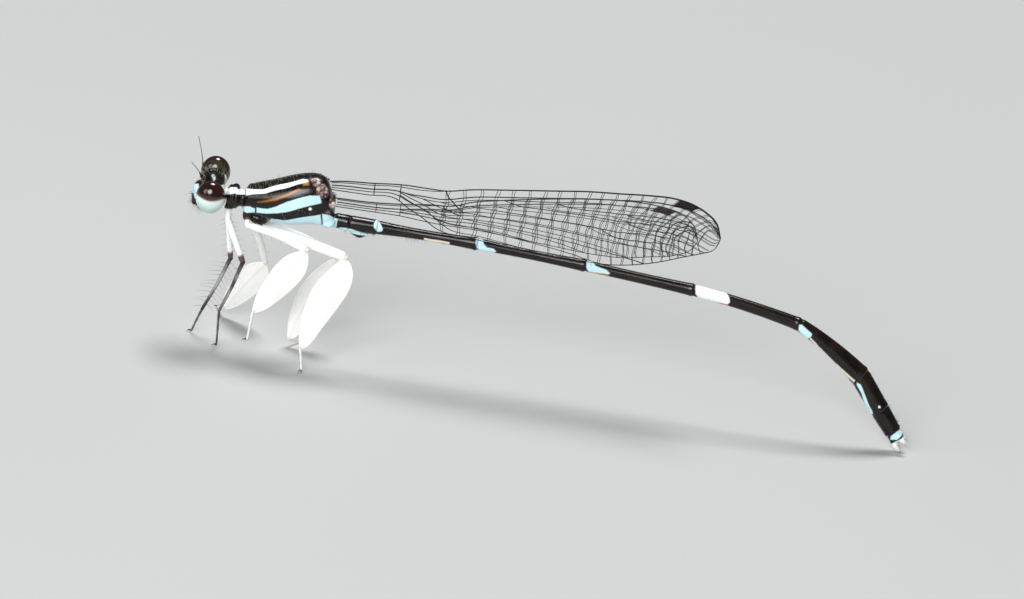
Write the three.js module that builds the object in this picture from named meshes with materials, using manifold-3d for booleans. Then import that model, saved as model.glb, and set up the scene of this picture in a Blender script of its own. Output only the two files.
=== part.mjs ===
// A male damselfly with white, leaf-shaped shins, standing with its wings closed, at life size.
// Lengths are in millimetres. The head points along -X, the tail along +X, the animal's left side
// faces -Y and +Z is up. All points below are measured from the floor under the tail's tip, and
// the last lines move the model so that its origin is the middle of its underside.
import * as THREE from 'three';
import { mergeVertices } from 'three/addons/utils/BufferGeometryUtils.js';
import Module from 'manifold-3d';

const wasm = await Module();
wasm.setup();

// Sizes shared by all the pieces
const GAP = 0.3;
const THIN = 0.5;
const FINE_SIDES = 20;
const BODY_SIDES = 12;
const LEG_SIDES = 8;
const WELD = 1e-4;

// Head: its centre, its roll towards the viewer's side, and half sizes along X, Y and Z
const HEAD_CENTRE = [-40.15, 0, 9.24];
const HEAD_ROLL = 10.3;
const CAPSULE = [0.66, 1.35, 0.8];
const EYE = [0.8, 0.7, 0.95];
const EYE_OFFSET = 1.42;
const FACE = [
  { centre: [-0.62, 0, -0.35], half: [0.48, 0.62, 0.42] },
  { centre: [-0.72, 0, -0.95], half: [0.4, 0.55, 0.42] },
  { centre: [-0.35, 0, -1.2], half: [0.5, 0.6, 0.55] },
];
const ANTENNA_ROOT = [-0.66, 0.38, 0.6];
const ANTENNA_BENDS = {
  left: [[-0.93, -0.62, 1.13], [-1.32, -1.1, 1.83]],
  right: [[-0.83, 0.54, 1.36], [-1.2, 0.94, 2.38]],
};
const ANTENNA_TIP_RADIUS = 0.08;

// Body sections: x, height of the middle, half height and half width
const PROTHORAX = [
  [-39.28, 8.78, 0.46, 0.48],
  [-39.15, 8.77, 0.6, 0.62],
  [-38.9, 8.76, 0.66, 0.68],
  [-38.7, 8.76, 0.62, 0.66],
  [-38.6, 8.75, 0.5, 0.55],
];
const SYNTHORAX = [
  [-38.3, 8.72, 0.6, 0.55],
  [-38.2, 8.72, 0.78, 0.74],
  [-37.6, 8.84, 0.92, 1.0],
  [-37.0, 8.9, 1.08, 1.13],
  [-36.4, 8.99, 1.24, 1.21],
  [-35.7, 9.12, 1.4, 1.26],
  [-35.1, 9.26, 1.45, 1.24],
  [-34.6, 9.34, 1.44, 1.17],
  [-34.2, 9.33, 1.41, 1.07],
  [-33.85, 9.2, 1.28, 0.96],
  [-33.5, 8.82, 0.9, 0.8],
  [-33.25, 8.46, 0.5, 0.6],
];

// Abdomen: the joints' x and height, and half heights at the start, middle and end of each length
const ABDOMEN_JOINTS = [
  [-33.1, 8.33],
  [-32.35, 8.26],
  [-30.75, 8.28],
  [-25.12, 8.25],
  [-19.01, 7.99],
  [-12.87, 7.57],
  [-6.78, 6.56],
  [-2.98, 4.12],
  [-1.59, 2.32],
  [-0.65, 1.14],
  [-0.3, 0.74],
];
const ABDOMEN_HALF_HEIGHTS = [
  [0.41, 0.43, 0.45],
  [0.46, 0.44, 0.41],
  [0.4, 0.3, 0.38],
  [0.34, 0.29, 0.36],
  [0.33, 0.31, 0.36],
  [0.34, 0.34, 0.38],
  [0.38, 0.47, 0.6],
  [0.58, 0.57, 0.55],
  [0.54, 0.52, 0.47],
  [0.44, 0.42, 0.34],
];
const ABDOMEN_WIDTH_SHARE = 0.92;
const ABDOMEN_SAG = { 6: 0.1, 7: 0.16 };
const GENITAL_BUMP = { centre: [-31.9, 0, 7.86], half: [0.36, 0.24, 0.3] };
const CERCUS = { root: [-0.42, 0.19, 0.98], tip: [0.1, 0.27, 0.7], radius: 0.2, tipRadius: 0.11 };
const PARAPROCT = { root: [-0.62, 0.13, 0.78], tip: [-0.14, 0.13, 0.02], radius: 0.21, tipRadius: 0.12 };

// Wings: the root, the slope of the long axis, and the leading and trailing edges as distances
// along and above that axis
const WING_SLOPE = 1.8;
const FOREWING = {
  root: [-33.85, 10.2],
  start: 0.33,
  end: 21.95,
  leading: [
    [0.2, 0.38], [2.59, 0.56], [4.0, 0.73], [5.62, 0.78], [6.54, 0.66], [7.96, 0.89], [10.0, 1.15],
    [12.8, 1.48], [14.2, 1.65], [16.15, 1.78], [17.9, 1.9], [19.1, 1.91], [20.4, 1.62],
    [21.1, 1.25], [21.5, 0.93], [21.8, 0.5], [21.95, 0.12],
  ],
  trailing: [
    [0.2, -0.17], [2.2, -0.19], [3.95, -0.25], [4.6, -0.68], [5.4, -1.1], [6.2, -1.62],
    [8.3, -1.95], [11.7, -2.28], [14.0, -2.42], [16.5, -2.4], [18.5, -1.94], [20.3, -1.21],
    [21.1, -0.93], [21.8, -0.54], [21.95, -0.32],
  ],
};
const HINDWING = {
  root: [-33.41, 9.47],
  start: 0.45,
  end: 20.3,
  leading: [
    [0.2, 0.13], [2.2, 0.14], [3.6, 0.24], [5.3, 0.44], [6.7, 0.56], [7.5, 0.86], [9.15, 1.24],
    [11.35, 1.63], [13.8, 2.0], [15.8, 2.21], [17.5, 2.25], [18.5, 2.12], [19.3, 1.79],
    [19.8, 1.42], [20.1, 1.05], [20.3, 0.62],
  ],
  trailing: [
    [0.2, -0.4], [2.3, -0.4], [3.7, -0.43], [5.5, -0.6], [8.3, -0.7], [12.0, -1.01],
    [15.1, -1.22], [16.4, -1.18], [17.65, -0.95], [19.1, -0.67], [19.9, -0.3], [20.3, 0.1],
  ],
};
const WING_COLUMNS = 32;
// Stigmas: where the dark cell near the tip starts and ends
const STIGMA_SPAN = { forewing: [19.0, 20.5], hindwing: [17.6, 19.0] };
// Main veins, as shares of the way from the trailing to the leading edge, and how far they stand
// out of the wing's outer face
const VEIN_SHARES = [0.16, 0.38, 0.6, 0.82];
const VEIN_HALF_SHARE = 0.05;
const VEIN_HEIGHT = 0.1;
const FOREWING_Y = { root: 0.75, blade: 1.3, from: 0.9, to: 3.7 };
const HINDWING_Y = { root: 0.4, blade: 0.4, from: 0.9, to: 3.7 };
// The closed wings lean together, so the near pair stands higher than the far pair: how much
// height a wing gains for its distance towards the near side, and how its slope grows
const WING_LEAN = 0.3;
const FOREWING_LIFT = { left: 0.2, right: -0.2 };
const WING_ROOTS = [
  { centre: [-34.15, 0.72, 10.12], half: [0.32, 0.3, 0.4] },
  { centre: [-33.62, 0.42, 9.35], half: [0.35, 0.28, 0.36] },
];

// Legs: the points where each one bends. A toe at the floor's level stands on a small flat.
const TOE_HEIGHT = 0.13;
const LEG_POINTS = {
  front_left: {
    coxa: [-39.1, -0.45, 7.85],
    trochanter: [-39.03, -0.58, 7.55],
    knee: [-37.85, -1.1, 5.4],
    ankle: [-38.75, -0.75, 2.2],
    toe: [-38.62, -0.55, TOE_HEIGHT],
  },
  front_right: {
    coxa: [-39.15, 0.45, 7.85],
    trochanter: [-39.12, 0.6, 7.55],
    knee: [-38.6, 1.3, 4.65],
    ankle: [-39.75, 0.9, 1.5],
    toe: [-40.15, 1.1, TOE_HEIGHT],
  },
  mid_left: {
    coxa: [-37.98, -0.75, 7.95],
    trochanter: [-37.88, -1.0, 7.6],
    knee: [-34.4, -2.4, 7.15],
    ankle: [-36.87, -2.1, 2.95],
    toe: [-36.95, -1.95, 1.2],
  },
  mid_right: {
    coxa: [-37.98, 0.75, 7.95],
    trochanter: [-37.88, 1.0, 7.6],
    knee: [-36.65, 2.7, 4.2],
    ankle: [-38.65, 4.4, 0.5],
    toe: [-39.0, 5.6, TOE_HEIGHT],
  },
  hind_left: {
    coxa: [-37.1, -0.32, 7.5],
    trochanter: [-37.2, -0.45, 7.35],
    knee: [-32.2, -1.7, 6.85],
    ankle: [-33.95, -2.2, 1.3],
    toe: [-33.7, -2.4, TOE_HEIGHT],
  },
  hind_right: {
    coxa: [-37.1, 0.32, 7.5],
    trochanter: [-37.2, 0.45, 7.35],
    knee: [-32.7, 1.7, 5.6],
    ankle: [-34.75, 1.2, 0.5],
    toe: [-34.1, 2.2, TOE_HEIGHT],
  },
};
const FEMUR_HALF_DEPTH = { front: [0.25, 0.27, 0.25], mid: [0.25, 0.28, 0.25], hind: [0.25, 0.35, 0.3] };
const LEAF_HALF_WIDTH = { mid: { fore: 0.88, aft: 0.77 }, hind: { fore: 0.88, aft: 0.94 } };
const LEAF_COLUMNS = 18;
const LEAF_ROWS = 4;
const LEAF_END_WIDTH = 0.17;
const TOE_RADIUS = 0.18;

// Materials
function paint(color, roughness, options = {}) {
  return new THREE.MeshStandardMaterial({ color, roughness, metalness: 0, ...options });
}
const BLACK = paint(0x15110f, 0.3);
const IVORY = paint(0xf3efe4, 0.55);
const DARK_SHIN = paint(0x5c5258, 0.5);
const EYE_RED = paint(0x3a0f0c, 0.15);
const CLEAR_WING = paint(0xcfd6cc, 0.2, { transparent: true, opacity: 0.5 });
const TAIL_WHITE = paint(0xdfeaf0, 0.5);

// Solids: welded meshes, joined and cut as closed bodies
const point = ([x, y, z]) => new THREE.Vector3(x, y, z);

function weld(geometry) {
  const bare = geometry.clone();
  bare.deleteAttribute('normal');
  bare.deleteAttribute('uv');
  return mergeVertices(bare, WELD);
}

function solidOf(geometry) {
  const welded = weld(geometry);
  return new wasm.Manifold(new wasm.Mesh({
    numProp: 3,
    vertProperties: new Float32Array(welded.attributes.position.array),
    triVerts: new Uint32Array(welded.index.array),
  }));
}

/** The largest closed surface of a solid, as a geometry. */
function geometryOf(solid) {
  const largest = solid.decompose().reduce((best, piece) => (piece.volume() > best.volume() ? piece : best));
  const mesh = largest.getMesh();
  const geometry = new THREE.BufferGeometry();
  geometry.setAttribute('position', new THREE.Float32BufferAttribute(mesh.vertProperties, 3));
  geometry.setIndex(Array.from(mesh.triVerts));
  return geometry;
}

function fuse(geometries) {
  return geometries.map(solidOf).reduce((joined, solid) => joined.add(solid));
}

// Shapes
function ball(centre, half, columns = FINE_SIDES, rows = BODY_SIDES) {
  const geometry = new THREE.SphereGeometry(1, columns, rows);
  geometry.scale(...half);
  geometry.translate(...centre);
  return geometry;
}

/** A closed skin through oval rings. Each ring has a centre, an axis, half its height and width. */
function loft(rings, sides) {
  const profile = [new THREE.Vector2(0, 0)];
  rings.forEach((ring, index) => profile.push(new THREE.Vector2(1, index)));
  profile.push(new THREE.Vector2(0, rings.length - 1));
  const skin = new THREE.LatheGeometry(profile, sides);
  const position = skin.attributes.position;
  for (let i = 0; i < position.count; i += 1) {
    const ring = rings[Math.round(position.getY(i))];
    const across = ring.axis.clone().cross(ring.up).normalize();
    const upward = across.clone().cross(ring.axis).normalize();
    const spot = ring.centre.clone()
      .addScaledVector(across, position.getX(i) * ring.halfWidth)
      .addScaledVector(upward, position.getZ(i) * ring.halfHeight);
    position.setXYZ(i, spot.x, spot.y, spot.z);
  }
  return skin;
}

/** Rings along a smooth curve through points, from share 0 to 1, with sizes given as a function. */
function ringsAlong(points, count, size, up, trim = { start: 0, end: 0 }) {
  const curve = new THREE.CatmullRomCurve3(points, false, 'centripetal');
  const length = curve.getLength();
  const first = trim.start / length;
  const last = 1 - trim.end / length;
  return Array.from({ length: count }, (_, index) => {
    const share = index / (count - 1);
    const along = first + (last - first) * share;
    const { halfHeight, halfWidth } = size(share);
    return { centre: curve.getPointAt(along), axis: curve.getTangentAt(along), up, halfHeight, halfWidth };
  });
}

/** A thin closed plate. place gives a point for along and across from 0 to 1 and side -1 or 1. */
function plate(columns, rows, place) {
  const box = new THREE.BoxGeometry(1, 1, 1, columns, rows, 1);
  const position = box.attributes.position;
  for (let i = 0; i < position.count; i += 1) {
    const spot = place(position.getX(i) + 0.5, position.getY(i) + 0.5, 2 * position.getZ(i));
    position.setXYZ(i, spot.x, spot.y, spot.z);
  }
  return box;
}

/** A smooth function through pairs of a position and a value. */
function smoothThrough(pairs) {
  const curve = new THREE.CubicInterpolant(pairs.map((pair) => pair[0]), pairs.map((pair) => pair[1]), 1);
  return (position) => curve.evaluate(position)[0];
}

/** A quadratic blend of three values, at the start, middle and end. */
function blendThree([start, middle, end], share) {
  const bulge = middle - (start + end) / 2;
  return start + (end - start) * share + 4 * bulge * share * (1 - share);
}

const model = new THREE.Group();

function addPiece(name, geometry, material, parent = model) {
  const mesh = new THREE.Mesh(weld(geometry), material);
  mesh.name = name;
  parent.add(mesh);
}

const mirrored = ([x, y, z], sign) => [x, sign * y, z];
const SIDES = { left: -1, right: 1 };

// Head, eyes and antennae, in the head's own frame
function addHead() {
  const head = new THREE.Group();
  head.position.set(...HEAD_CENTRE);
  head.rotation.x = THREE.MathUtils.degToRad(HEAD_ROLL);
  model.add(head);

  const lobes = FACE.map(({ centre, half }) => ball(centre, half, BODY_SIDES, LEG_SIDES));
  let skull = fuse([ball([0, 0, 0], CAPSULE), ...lobes]);
  for (const sign of Object.values(SIDES)) {
    const socket = ball([0, sign * EYE_OFFSET, 0], EYE.map((size) => size + GAP));
    skull = skull.subtract(solidOf(socket));
  }
  addPiece('head', geometryOf(skull), BLACK, head);

  for (const [side, sign] of Object.entries(SIDES)) {
    addPiece(`eye_${side}`, ball([0, sign * EYE_OFFSET, 0], EYE), EYE_RED, head);
    const points = [mirrored(ANTENNA_ROOT, sign), ...ANTENNA_BENDS[side]].map(point);
    const taper = (share) => {
      const radius = THREE.MathUtils.lerp(THIN / 2, ANTENNA_TIP_RADIUS, share ** 2);
      return { halfHeight: radius, halfWidth: radius };
    };
    const rings = ringsAlong(points, 8, taper, new THREE.Vector3(1, 0, 0));
    addPiece(`antenna_${side}`, loft(rings, LEG_SIDES), BLACK, head);
  }
}

// Prothorax and synthorax, with the raised roots of the wings
function sectionRings(sections) {
  return sections.map(([x, height, halfHeight, halfWidth]) => ({
    centre: new THREE.Vector3(x, 0, height),
    axis: new THREE.Vector3(1, 0, 0),
    up: new THREE.Vector3(0, 0, 1),
    halfHeight,
    halfWidth,
  }));
}

function addThorax() {
  addPiece('prothorax', loft(sectionRings(PROTHORAX), FINE_SIDES), BLACK);
  const roots = WING_ROOTS.flatMap(({ centre, half }) => Object.values(SIDES)
    .map((sign) => ball(mirrored(centre, sign), half, BODY_SIDES, LEG_SIDES)));
  addPiece('thorax', geometryOf(fuse([loft(sectionRings(SYNTHORAX), FINE_SIDES), ...roots])), BLACK);
}

// Abdomen, one piece for each length between two joints
function abdomenLength(index) {
  const [start, end] = [ABDOMEN_JOINTS[index], ABDOMEN_JOINTS[index + 1]]
    .map(([x, z]) => new THREE.Vector3(x, 0, z));
  const up = new THREE.Vector3(0, 0, 1);
  const middle = start.clone().lerp(end, 0.5);
  middle.z += ABDOMEN_SAG[index + 1] ?? 0;
  const size = (share) => {
    const halfHeight = blendThree(ABDOMEN_HALF_HEIGHTS[index], share);
    return { halfHeight, halfWidth: halfHeight * ABDOMEN_WIDTH_SHARE };
  };
  const endTrim = index === ABDOMEN_JOINTS.length - 2 ? 0 : GAP / 2;
  const count = 4 + Math.round(start.distanceTo(end));
  return loft(ringsAlong([start, middle, end], count, size, up, { start: GAP / 2, end: endTrim }), BODY_SIDES);
}

function appendages({ root, tip, radius, tipRadius }) {
  return Object.values(SIDES).map((sign) => {
    const size = (share) => {
      const radiusHere = THREE.MathUtils.lerp(radius, tipRadius, share);
      return { halfHeight: radiusHere, halfWidth: radiusHere };
    };
    const points = [root, tip].map((spot) => point(mirrored(spot, sign)));
    return loft(ringsAlong(points, 4, size, new THREE.Vector3(0, 1, 0)), LEG_SIDES);
  });
}

function addAbdomen() {
  const last = ABDOMEN_JOINTS.length - 1;
  for (let index = 0; index < last; index += 1) {
    const name = `abdomen_${index + 1}`;
    if (index === 1) {
      addPiece(name, geometryOf(fuse([abdomenLength(index), ball(GENITAL_BUMP.centre, GENITAL_BUMP.half)])), BLACK);
    } else if (index === last - 1) {
      const tail = fuse([abdomenLength(index), ...appendages(CERCUS), ...appendages(PARAPROCT)]);
      addPiece(name, geometryOf(aboveFloor(tail)), TAIL_WHITE);
    } else {
      addPiece(name, abdomenLength(index), BLACK);
    }
  }
}

/** A solid with whatever lies under the floor cut away, which leaves a small flat. */
function aboveFloor(solid) {
  const depth = 10;
  const ground = new THREE.BoxGeometry(200, 200, depth);
  ground.translate(0, 0, -depth / 2);
  return solid.subtract(solidOf(ground));
}

/** The rows of a wing's grid: three for each vein, whose middle one is raised, and the edges. */
function wingRows() {
  const rows = [{ share: 0, isVein: false }];
  for (const share of VEIN_SHARES) {
    rows.push({ share: share - VEIN_HALF_SHARE, isVein: false });
    rows.push({ share, isVein: true });
    rows.push({ share: share + VEIN_HALF_SHARE, isVein: false });
  }
  rows.push({ share: 1 - VEIN_HALF_SHARE, isVein: false });
  rows.push({ share: 1, isVein: true });
  return rows;
}

// Wings, each a thin plate that leaves its root and settles beside its neighbour. Its veins and
// stigma are raised in its outer face.
function wingPlate(wing, spread, sign, lift, stigma) {
  const rows = wingRows();
  const frontVein = VEIN_SHARES[VEIN_SHARES.length - 1];
  const leading = smoothThrough(wing.leading);
  const trailing = smoothThrough(wing.trailing);
  const slope = THREE.MathUtils.degToRad(WING_SLOPE + lift);
  const [rootX, rootZ] = wing.root;
  return plate(WING_COLUMNS, rows.length - 1, (along, across, side) => {
    const { share, isVein } = rows[Math.round(across * (rows.length - 1))];
    const crowding = along + 0.12 * along * (1 - along) * (2 * along - 0.6);
    const distance = THREE.MathUtils.lerp(wing.start, wing.end, crowding);
    const height = THREE.MathUtils.lerp(trailing(distance), leading(distance), share);
    const settled = THREE.MathUtils.smoothstep(distance, spread.from, spread.to);
    const middleY = sign * THREE.MathUtils.lerp(spread.root, spread.blade, settled);
    const isStigma = share > frontVein && distance > stigma[0] && distance < stigma[1];
    const isRaised = side === -sign && (isVein || isStigma);
    const depth = THIN / 2 + (isRaised ? VEIN_HEIGHT : 0);
    return new THREE.Vector3(
      rootX + distance * Math.cos(slope) - height * Math.sin(slope),
      middleY - side * depth,
      rootZ + distance * Math.sin(slope) + height * Math.cos(slope) - middleY * WING_LEAN,
    );
  });
}

function addWings() {
  for (const [side, sign] of Object.entries(SIDES)) {
    const lift = FOREWING_LIFT[side];
    const forewing = wingPlate(FOREWING, FOREWING_Y, sign, lift, STIGMA_SPAN.forewing);
    addPiece(`forewing_${side}`, forewing, CLEAR_WING);
    addPiece(`hindwing_${side}`, wingPlate(HINDWING, HINDWING_Y, sign, 0, STIGMA_SPAN.hindwing), CLEAR_WING);
  }
}

// Legs: femur with its coxa, tibia and tarsus
function femur(pair, { coxa, trochanter, knee }) {
  const size = (share) => ({
    halfHeight: blendThree(FEMUR_HALF_DEPTH[pair], share),
    halfWidth: THIN / 2,
  });
  const points = [coxa, trochanter, knee].map(point);
  return loft(ringsAlong(points, 12, size, new THREE.Vector3(0, 0, 1)), LEG_SIDES);
}

/** How far below the knee a tibia starts, so that its face keeps the gap to the femur. */
function kneeClearance(pair, { trochanter, knee, ankle }) {
  const thigh = point(trochanter).sub(point(knee));
  const shin = point(ankle).sub(point(knee));
  const bend = thigh.angleTo(shin);
  const halfDepth = FEMUR_HALF_DEPTH[pair][2];
  if (bend > Math.PI / 2) {
    return GAP + halfDepth * Math.sin(bend);
  }
  return (GAP + halfDepth + LEAF_END_WIDTH * Math.cos(bend)) / Math.sin(bend);
}

function rodTibia(pair, bends) {
  const size = () => ({ halfHeight: THIN / 2, halfWidth: THIN / 2 });
  const trim = { start: kneeClearance(pair, bends), end: GAP / 2 };
  const points = [bends.knee, bends.ankle].map(point);
  return loft(ringsAlong(points, 4, size, new THREE.Vector3(1, 0, 0), trim), LEG_SIDES);
}

/** A leaf-shaped shin: widest above its middle, with its flat faces to the animal's sides. */
function leafTibia(pair, bends) {
  const top = point(bends.knee);
  const start = kneeClearance(pair, bends);
  const axis = point(bends.ankle).sub(top);
  const length = axis.length();
  axis.normalize();
  const outward = new THREE.Vector3(0, -1, 0);
  outward.addScaledVector(axis, -outward.dot(axis)).normalize();
  const forward = outward.clone().cross(axis);
  const { fore, aft } = LEAF_HALF_WIDTH[pair];
  return plate(LEAF_COLUMNS, LEAF_ROWS, (along, across, side) => {
    const swell = Math.sin(Math.PI * along ** 0.8) ** 0.7;
    const widthFore = LEAF_END_WIDTH + (fore - LEAF_END_WIDTH) * swell;
    const widthAft = LEAF_END_WIDTH + (aft - LEAF_END_WIDTH) * swell;
    const sideways = THREE.MathUtils.lerp(-widthAft, widthFore, across);
    return top.clone()
      .addScaledVector(axis, THREE.MathUtils.lerp(start, length - GAP / 2, along))
      .addScaledVector(forward, sideways)
      .addScaledVector(outward, side * THIN / 2);
  });
}

function tarsus({ ankle, toe }) {
  const size = (share) => {
    const radius = THREE.MathUtils.lerp(THIN / 2, TOE_RADIUS, share);
    return { halfHeight: radius, halfWidth: radius };
  };
  const points = [ankle, toe].map(point);
  const up = new THREE.Vector3(1, 0, 0);
  return loft(ringsAlong(points, 5, size, up, { start: GAP / 2, end: 0 }), LEG_SIDES);
}

function addLegs() {
  for (const [name, points] of Object.entries(LEG_POINTS)) {
    const pair = name.split('_')[0];
    const isRod = pair === 'front';
    addPiece(`femur_${name}`, femur(pair, points), IVORY);
    const tibia = isRod ? rodTibia(pair, points) : leafTibia(pair, points);
    addPiece(`tibia_${name}`, tibia, isRod ? DARK_SHIN : IVORY);
    addPiece(`tarsus_${name}`, geometryOf(aboveFloor(solidOf(tarsus(points)))), isRod ? DARK_SHIN : IVORY);
  }
}

addHead();
addThorax();
addAbdomen();
addWings();
addLegs();

const bounds = new THREE.Box3().setFromObject(model, true);
const middle = bounds.getCenter(new THREE.Vector3());
model.position.set(-middle.x, -middle.y, -bounds.min.z);

export default model;
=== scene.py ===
"""The looks of a male damselfly with white, leaf-shaped shins, standing with its wings closed.

Lengths are millimetres in the body's own frame, as in the part's source: the floor is z = 0, the
body's middle plane is y = 0, the head points along -X and x = 0 lies near the tail's tip. The
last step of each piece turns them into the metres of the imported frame. Markings are placed by
pixels of the photograph, which photo_pixel() finds for any point of the near, left side, and the
right side mirrors them.
"""
import math
import random

import bmesh
import bpy
import numpy as np
from mathutils import Matrix, Vector


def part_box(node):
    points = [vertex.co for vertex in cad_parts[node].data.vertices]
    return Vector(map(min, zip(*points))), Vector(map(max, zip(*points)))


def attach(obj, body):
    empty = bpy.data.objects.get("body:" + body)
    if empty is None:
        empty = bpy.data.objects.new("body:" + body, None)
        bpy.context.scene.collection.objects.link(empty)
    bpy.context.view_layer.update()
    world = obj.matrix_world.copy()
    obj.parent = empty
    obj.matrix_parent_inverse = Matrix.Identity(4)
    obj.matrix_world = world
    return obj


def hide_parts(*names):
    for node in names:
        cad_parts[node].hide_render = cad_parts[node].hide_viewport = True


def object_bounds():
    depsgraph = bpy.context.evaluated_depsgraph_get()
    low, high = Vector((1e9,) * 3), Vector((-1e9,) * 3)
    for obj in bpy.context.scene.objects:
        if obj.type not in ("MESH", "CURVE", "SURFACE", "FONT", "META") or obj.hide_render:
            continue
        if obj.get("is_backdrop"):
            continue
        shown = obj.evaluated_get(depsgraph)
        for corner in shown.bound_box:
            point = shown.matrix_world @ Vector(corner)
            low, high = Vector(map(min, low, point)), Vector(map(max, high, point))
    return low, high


MM = 0.001
SIDES = {"left": -1.0, "right": 1.0}
Z_AXIS = (0.0, 0.0, 1.0)

# How the photograph sees the body
PHOTO_SIZE = (1024, 599)
PIXELS_PER_MM = 18.0
PHOTO_ROLL = math.radians(9.1)
PHOTO_ELEVATION = math.radians(20.0)
TAIL_PIXEL = (903.0, 450.0)
TAIL_HEIGHT = 0.2
CAMERA_DISTANCE = 800.0
SENSOR = 36.0

# The prothorax in the body's frame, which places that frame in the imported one
PROTHORAX_FRONT = -39.28
PROTHORAX_TOP = 9.42

# Head, whose lumps lie in its own frame, each with a centre and half sizes
HEAD_CENTRE = (-40.15, 0.0, 9.24)
HEAD_ROLL = math.radians(10.3)
CAPSULE = (0.66, 1.35, 0.8)
EYE = (0.83, 0.72, 0.96)
EYE_OFFSET = 1.42
ANTENNA_ROOT = (-0.66, 0.38, 0.6)
ANTENNA_BENDS = {
    "left": [(-0.93, -0.62, 1.13), (-1.32, -1.1, 1.83)],
    "right": [(-0.83, 0.54, 1.36), (-1.2, 0.94, 2.38)],
}
ANTENNA_RADIUS = 0.016
HEAD_LUMPS = [
    ((0, 0, 0), CAPSULE),
    ((-0.1, 0, 0.42), (0.5, 0.8, 0.4)),
    ((0.34, 0, 0.1), (0.34, 0.95, 0.55)),
    ((-0.62, 0, -0.3), (0.46, 0.62, 0.4)),
    ((-0.78, 0, -0.78), (0.34, 0.55, 0.26)),
    ((-0.66, 0, -1.12), (0.36, 0.48, 0.26)),
    ((-0.3, 0, -1.2), (0.46, 0.55, 0.5)),
]
SMALL_EYE = (0.11, 0.1, 0.1)
SMALL_EYES = [
    ((-0.5, 0, 0.62), SMALL_EYE),
    ((-0.26, 0.22, 0.78), SMALL_EYE),
    ((-0.26, -0.22, 0.78), SMALL_EYE),
]
HEAD_SIDE_LUMPS = [
    ((-0.59, 0.38, 0.54), (0.14, 0.12, 0.14)),
    ((-0.9, 0.3, -0.98), (0.16, 0.2, 0.3)),
    ((0.48, 0.62, 0.08), (0.24, 0.3, 0.3)),
]

# Body sections: x, height of the middle, half height and half width
NECK = [
    (-39.95, 9.12, 0.32, 0.34),
    (-39.5, 8.9, 0.3, 0.32),
    (-39.2, 8.82, 0.36, 0.38),
    (-38.9, 8.76, 0.4, 0.42),
]
PROTHORAX = [
    (-39.28, 8.78, 0.44, 0.47),
    (-39.16, 8.77, 0.58, 0.61),
    (-39.02, 8.765, 0.6, 0.63),
    (-38.95, 8.76, 0.56, 0.6),
    (-38.84, 8.76, 0.65, 0.68),
    (-38.68, 8.75, 0.63, 0.67),
    (-38.58, 8.74, 0.5, 0.55),
    (-38.4, 8.73, 0.46, 0.5),
    (-38.2, 8.73, 0.46, 0.5),
]
SYNTHORAX = [
    (-38.34, 8.7, 0.5, 0.48),
    (-38.24, 8.71, 0.74, 0.7),
    (-37.9, 8.78, 0.86, 0.88),
    (-37.6, 8.84, 0.92, 1.0),
    (-37.0, 8.9, 1.08, 1.13),
    (-36.4, 8.99, 1.24, 1.21),
    (-35.7, 9.12, 1.4, 1.26),
    (-35.1, 9.26, 1.45, 1.24),
    (-34.6, 9.34, 1.44, 1.17),
    (-34.2, 9.33, 1.41, 1.07),
    (-33.85, 9.2, 1.28, 0.96),
    (-33.5, 8.82, 0.9, 0.8),
    (-33.25, 8.46, 0.5, 0.6),
]
ABDOMEN_JOINTS = [
    (-33.2, 8.33), (-32.35, 8.26), (-30.75, 8.28), (-25.12, 8.25), (-19.01, 7.99), (-12.87, 7.57),
    (-6.78, 6.56), (-2.98, 4.12), (-1.59, 2.32), (-0.65, 1.14), (-0.3, 0.74),
]
ABDOMEN_HALF_HEIGHTS = [
    (0.41, 0.43, 0.45), (0.46, 0.44, 0.41), (0.4, 0.3, 0.38), (0.34, 0.29, 0.36),
    (0.33, 0.31, 0.36), (0.34, 0.34, 0.38), (0.38, 0.47, 0.6), (0.58, 0.57, 0.55),
    (0.54, 0.52, 0.47), (0.44, 0.42, 0.34),
]
ABDOMEN_WIDTH_SHARE = 0.92
ABDOMEN_SAG = {5: 0.1, 6: 0.16}
ABDOMEN_STEP = 0.08
# The abdomen swells a little before each joint and is pinched at it
SWELLING = 0.03
SWELLING_WIDTH = 0.09
SWELLING_TO_JOINT = 0.12
PINCH = 0.05
PINCH_WIDTH = 0.05

# Lumps of the body: centre and half sizes, with those that have a twin given for one side
PROTHORAX_LUMPS = [
    ((-38.86, 0.26, 9.3), (0.2, 0.2, 0.13)),
    ((-39.12, 0.2, 9.24), (0.12, 0.22, 0.12)),
]
THORAX_LUMPS = [
    ((-39.1, 0.4, 8.2), (0.24, 0.2, 0.36)),
    ((-38.0, 0.66, 8.05), (0.28, 0.26, 0.4)),
    ((-37.35, 0.42, 7.8), (0.52, 0.26, 0.3)),
    ((-33.5, 0.42, 8.3), (0.4, 0.34, 0.36)),
]
ABDOMEN_LUMPS = [
    ((-31.9, 0, 7.86), (0.34, 0.2, 0.28)),
    ((-31.7, 0, 7.74), (0.3, 0.18, 0.24)),
    ((-31.45, 0, 7.78), (0.2, 0.12, 0.16)),
]
# Tail appendages: where each one bends, and its radius at the root and at the tip
APPENDAGES = [
    ([(-0.46, 0.2, 1.02), (-0.15, 0.3, 0.9), (0.08, 0.24, 0.68)], (0.2, 0.12)),
    ([(-0.62, 0.15, 0.8), (-0.36, 0.17, 0.36), (-0.14, 0.1, 0.13)], (0.22, 0.11)),
]
HEAD_ENDS = -39.45
SKIN_VOXEL = 0.045
SKIN_SOFTENINGS = 5
GROOVE_WIDTH = 0.05
LAST_GROOVE = -7.0
# Stretches of the body along x
FRONT_COXAE = (-39.4, -38.8)
HAIRY_THORAX = (-38.2, -34.2)
THORAX_CREST = (-38.1, -34.6)
THORAX_BELLY = (-36.2, -33.2)
HAIRY_ABDOMEN = (-33, -1)
BRISTLY_BELLY = (-33, -28)

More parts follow.
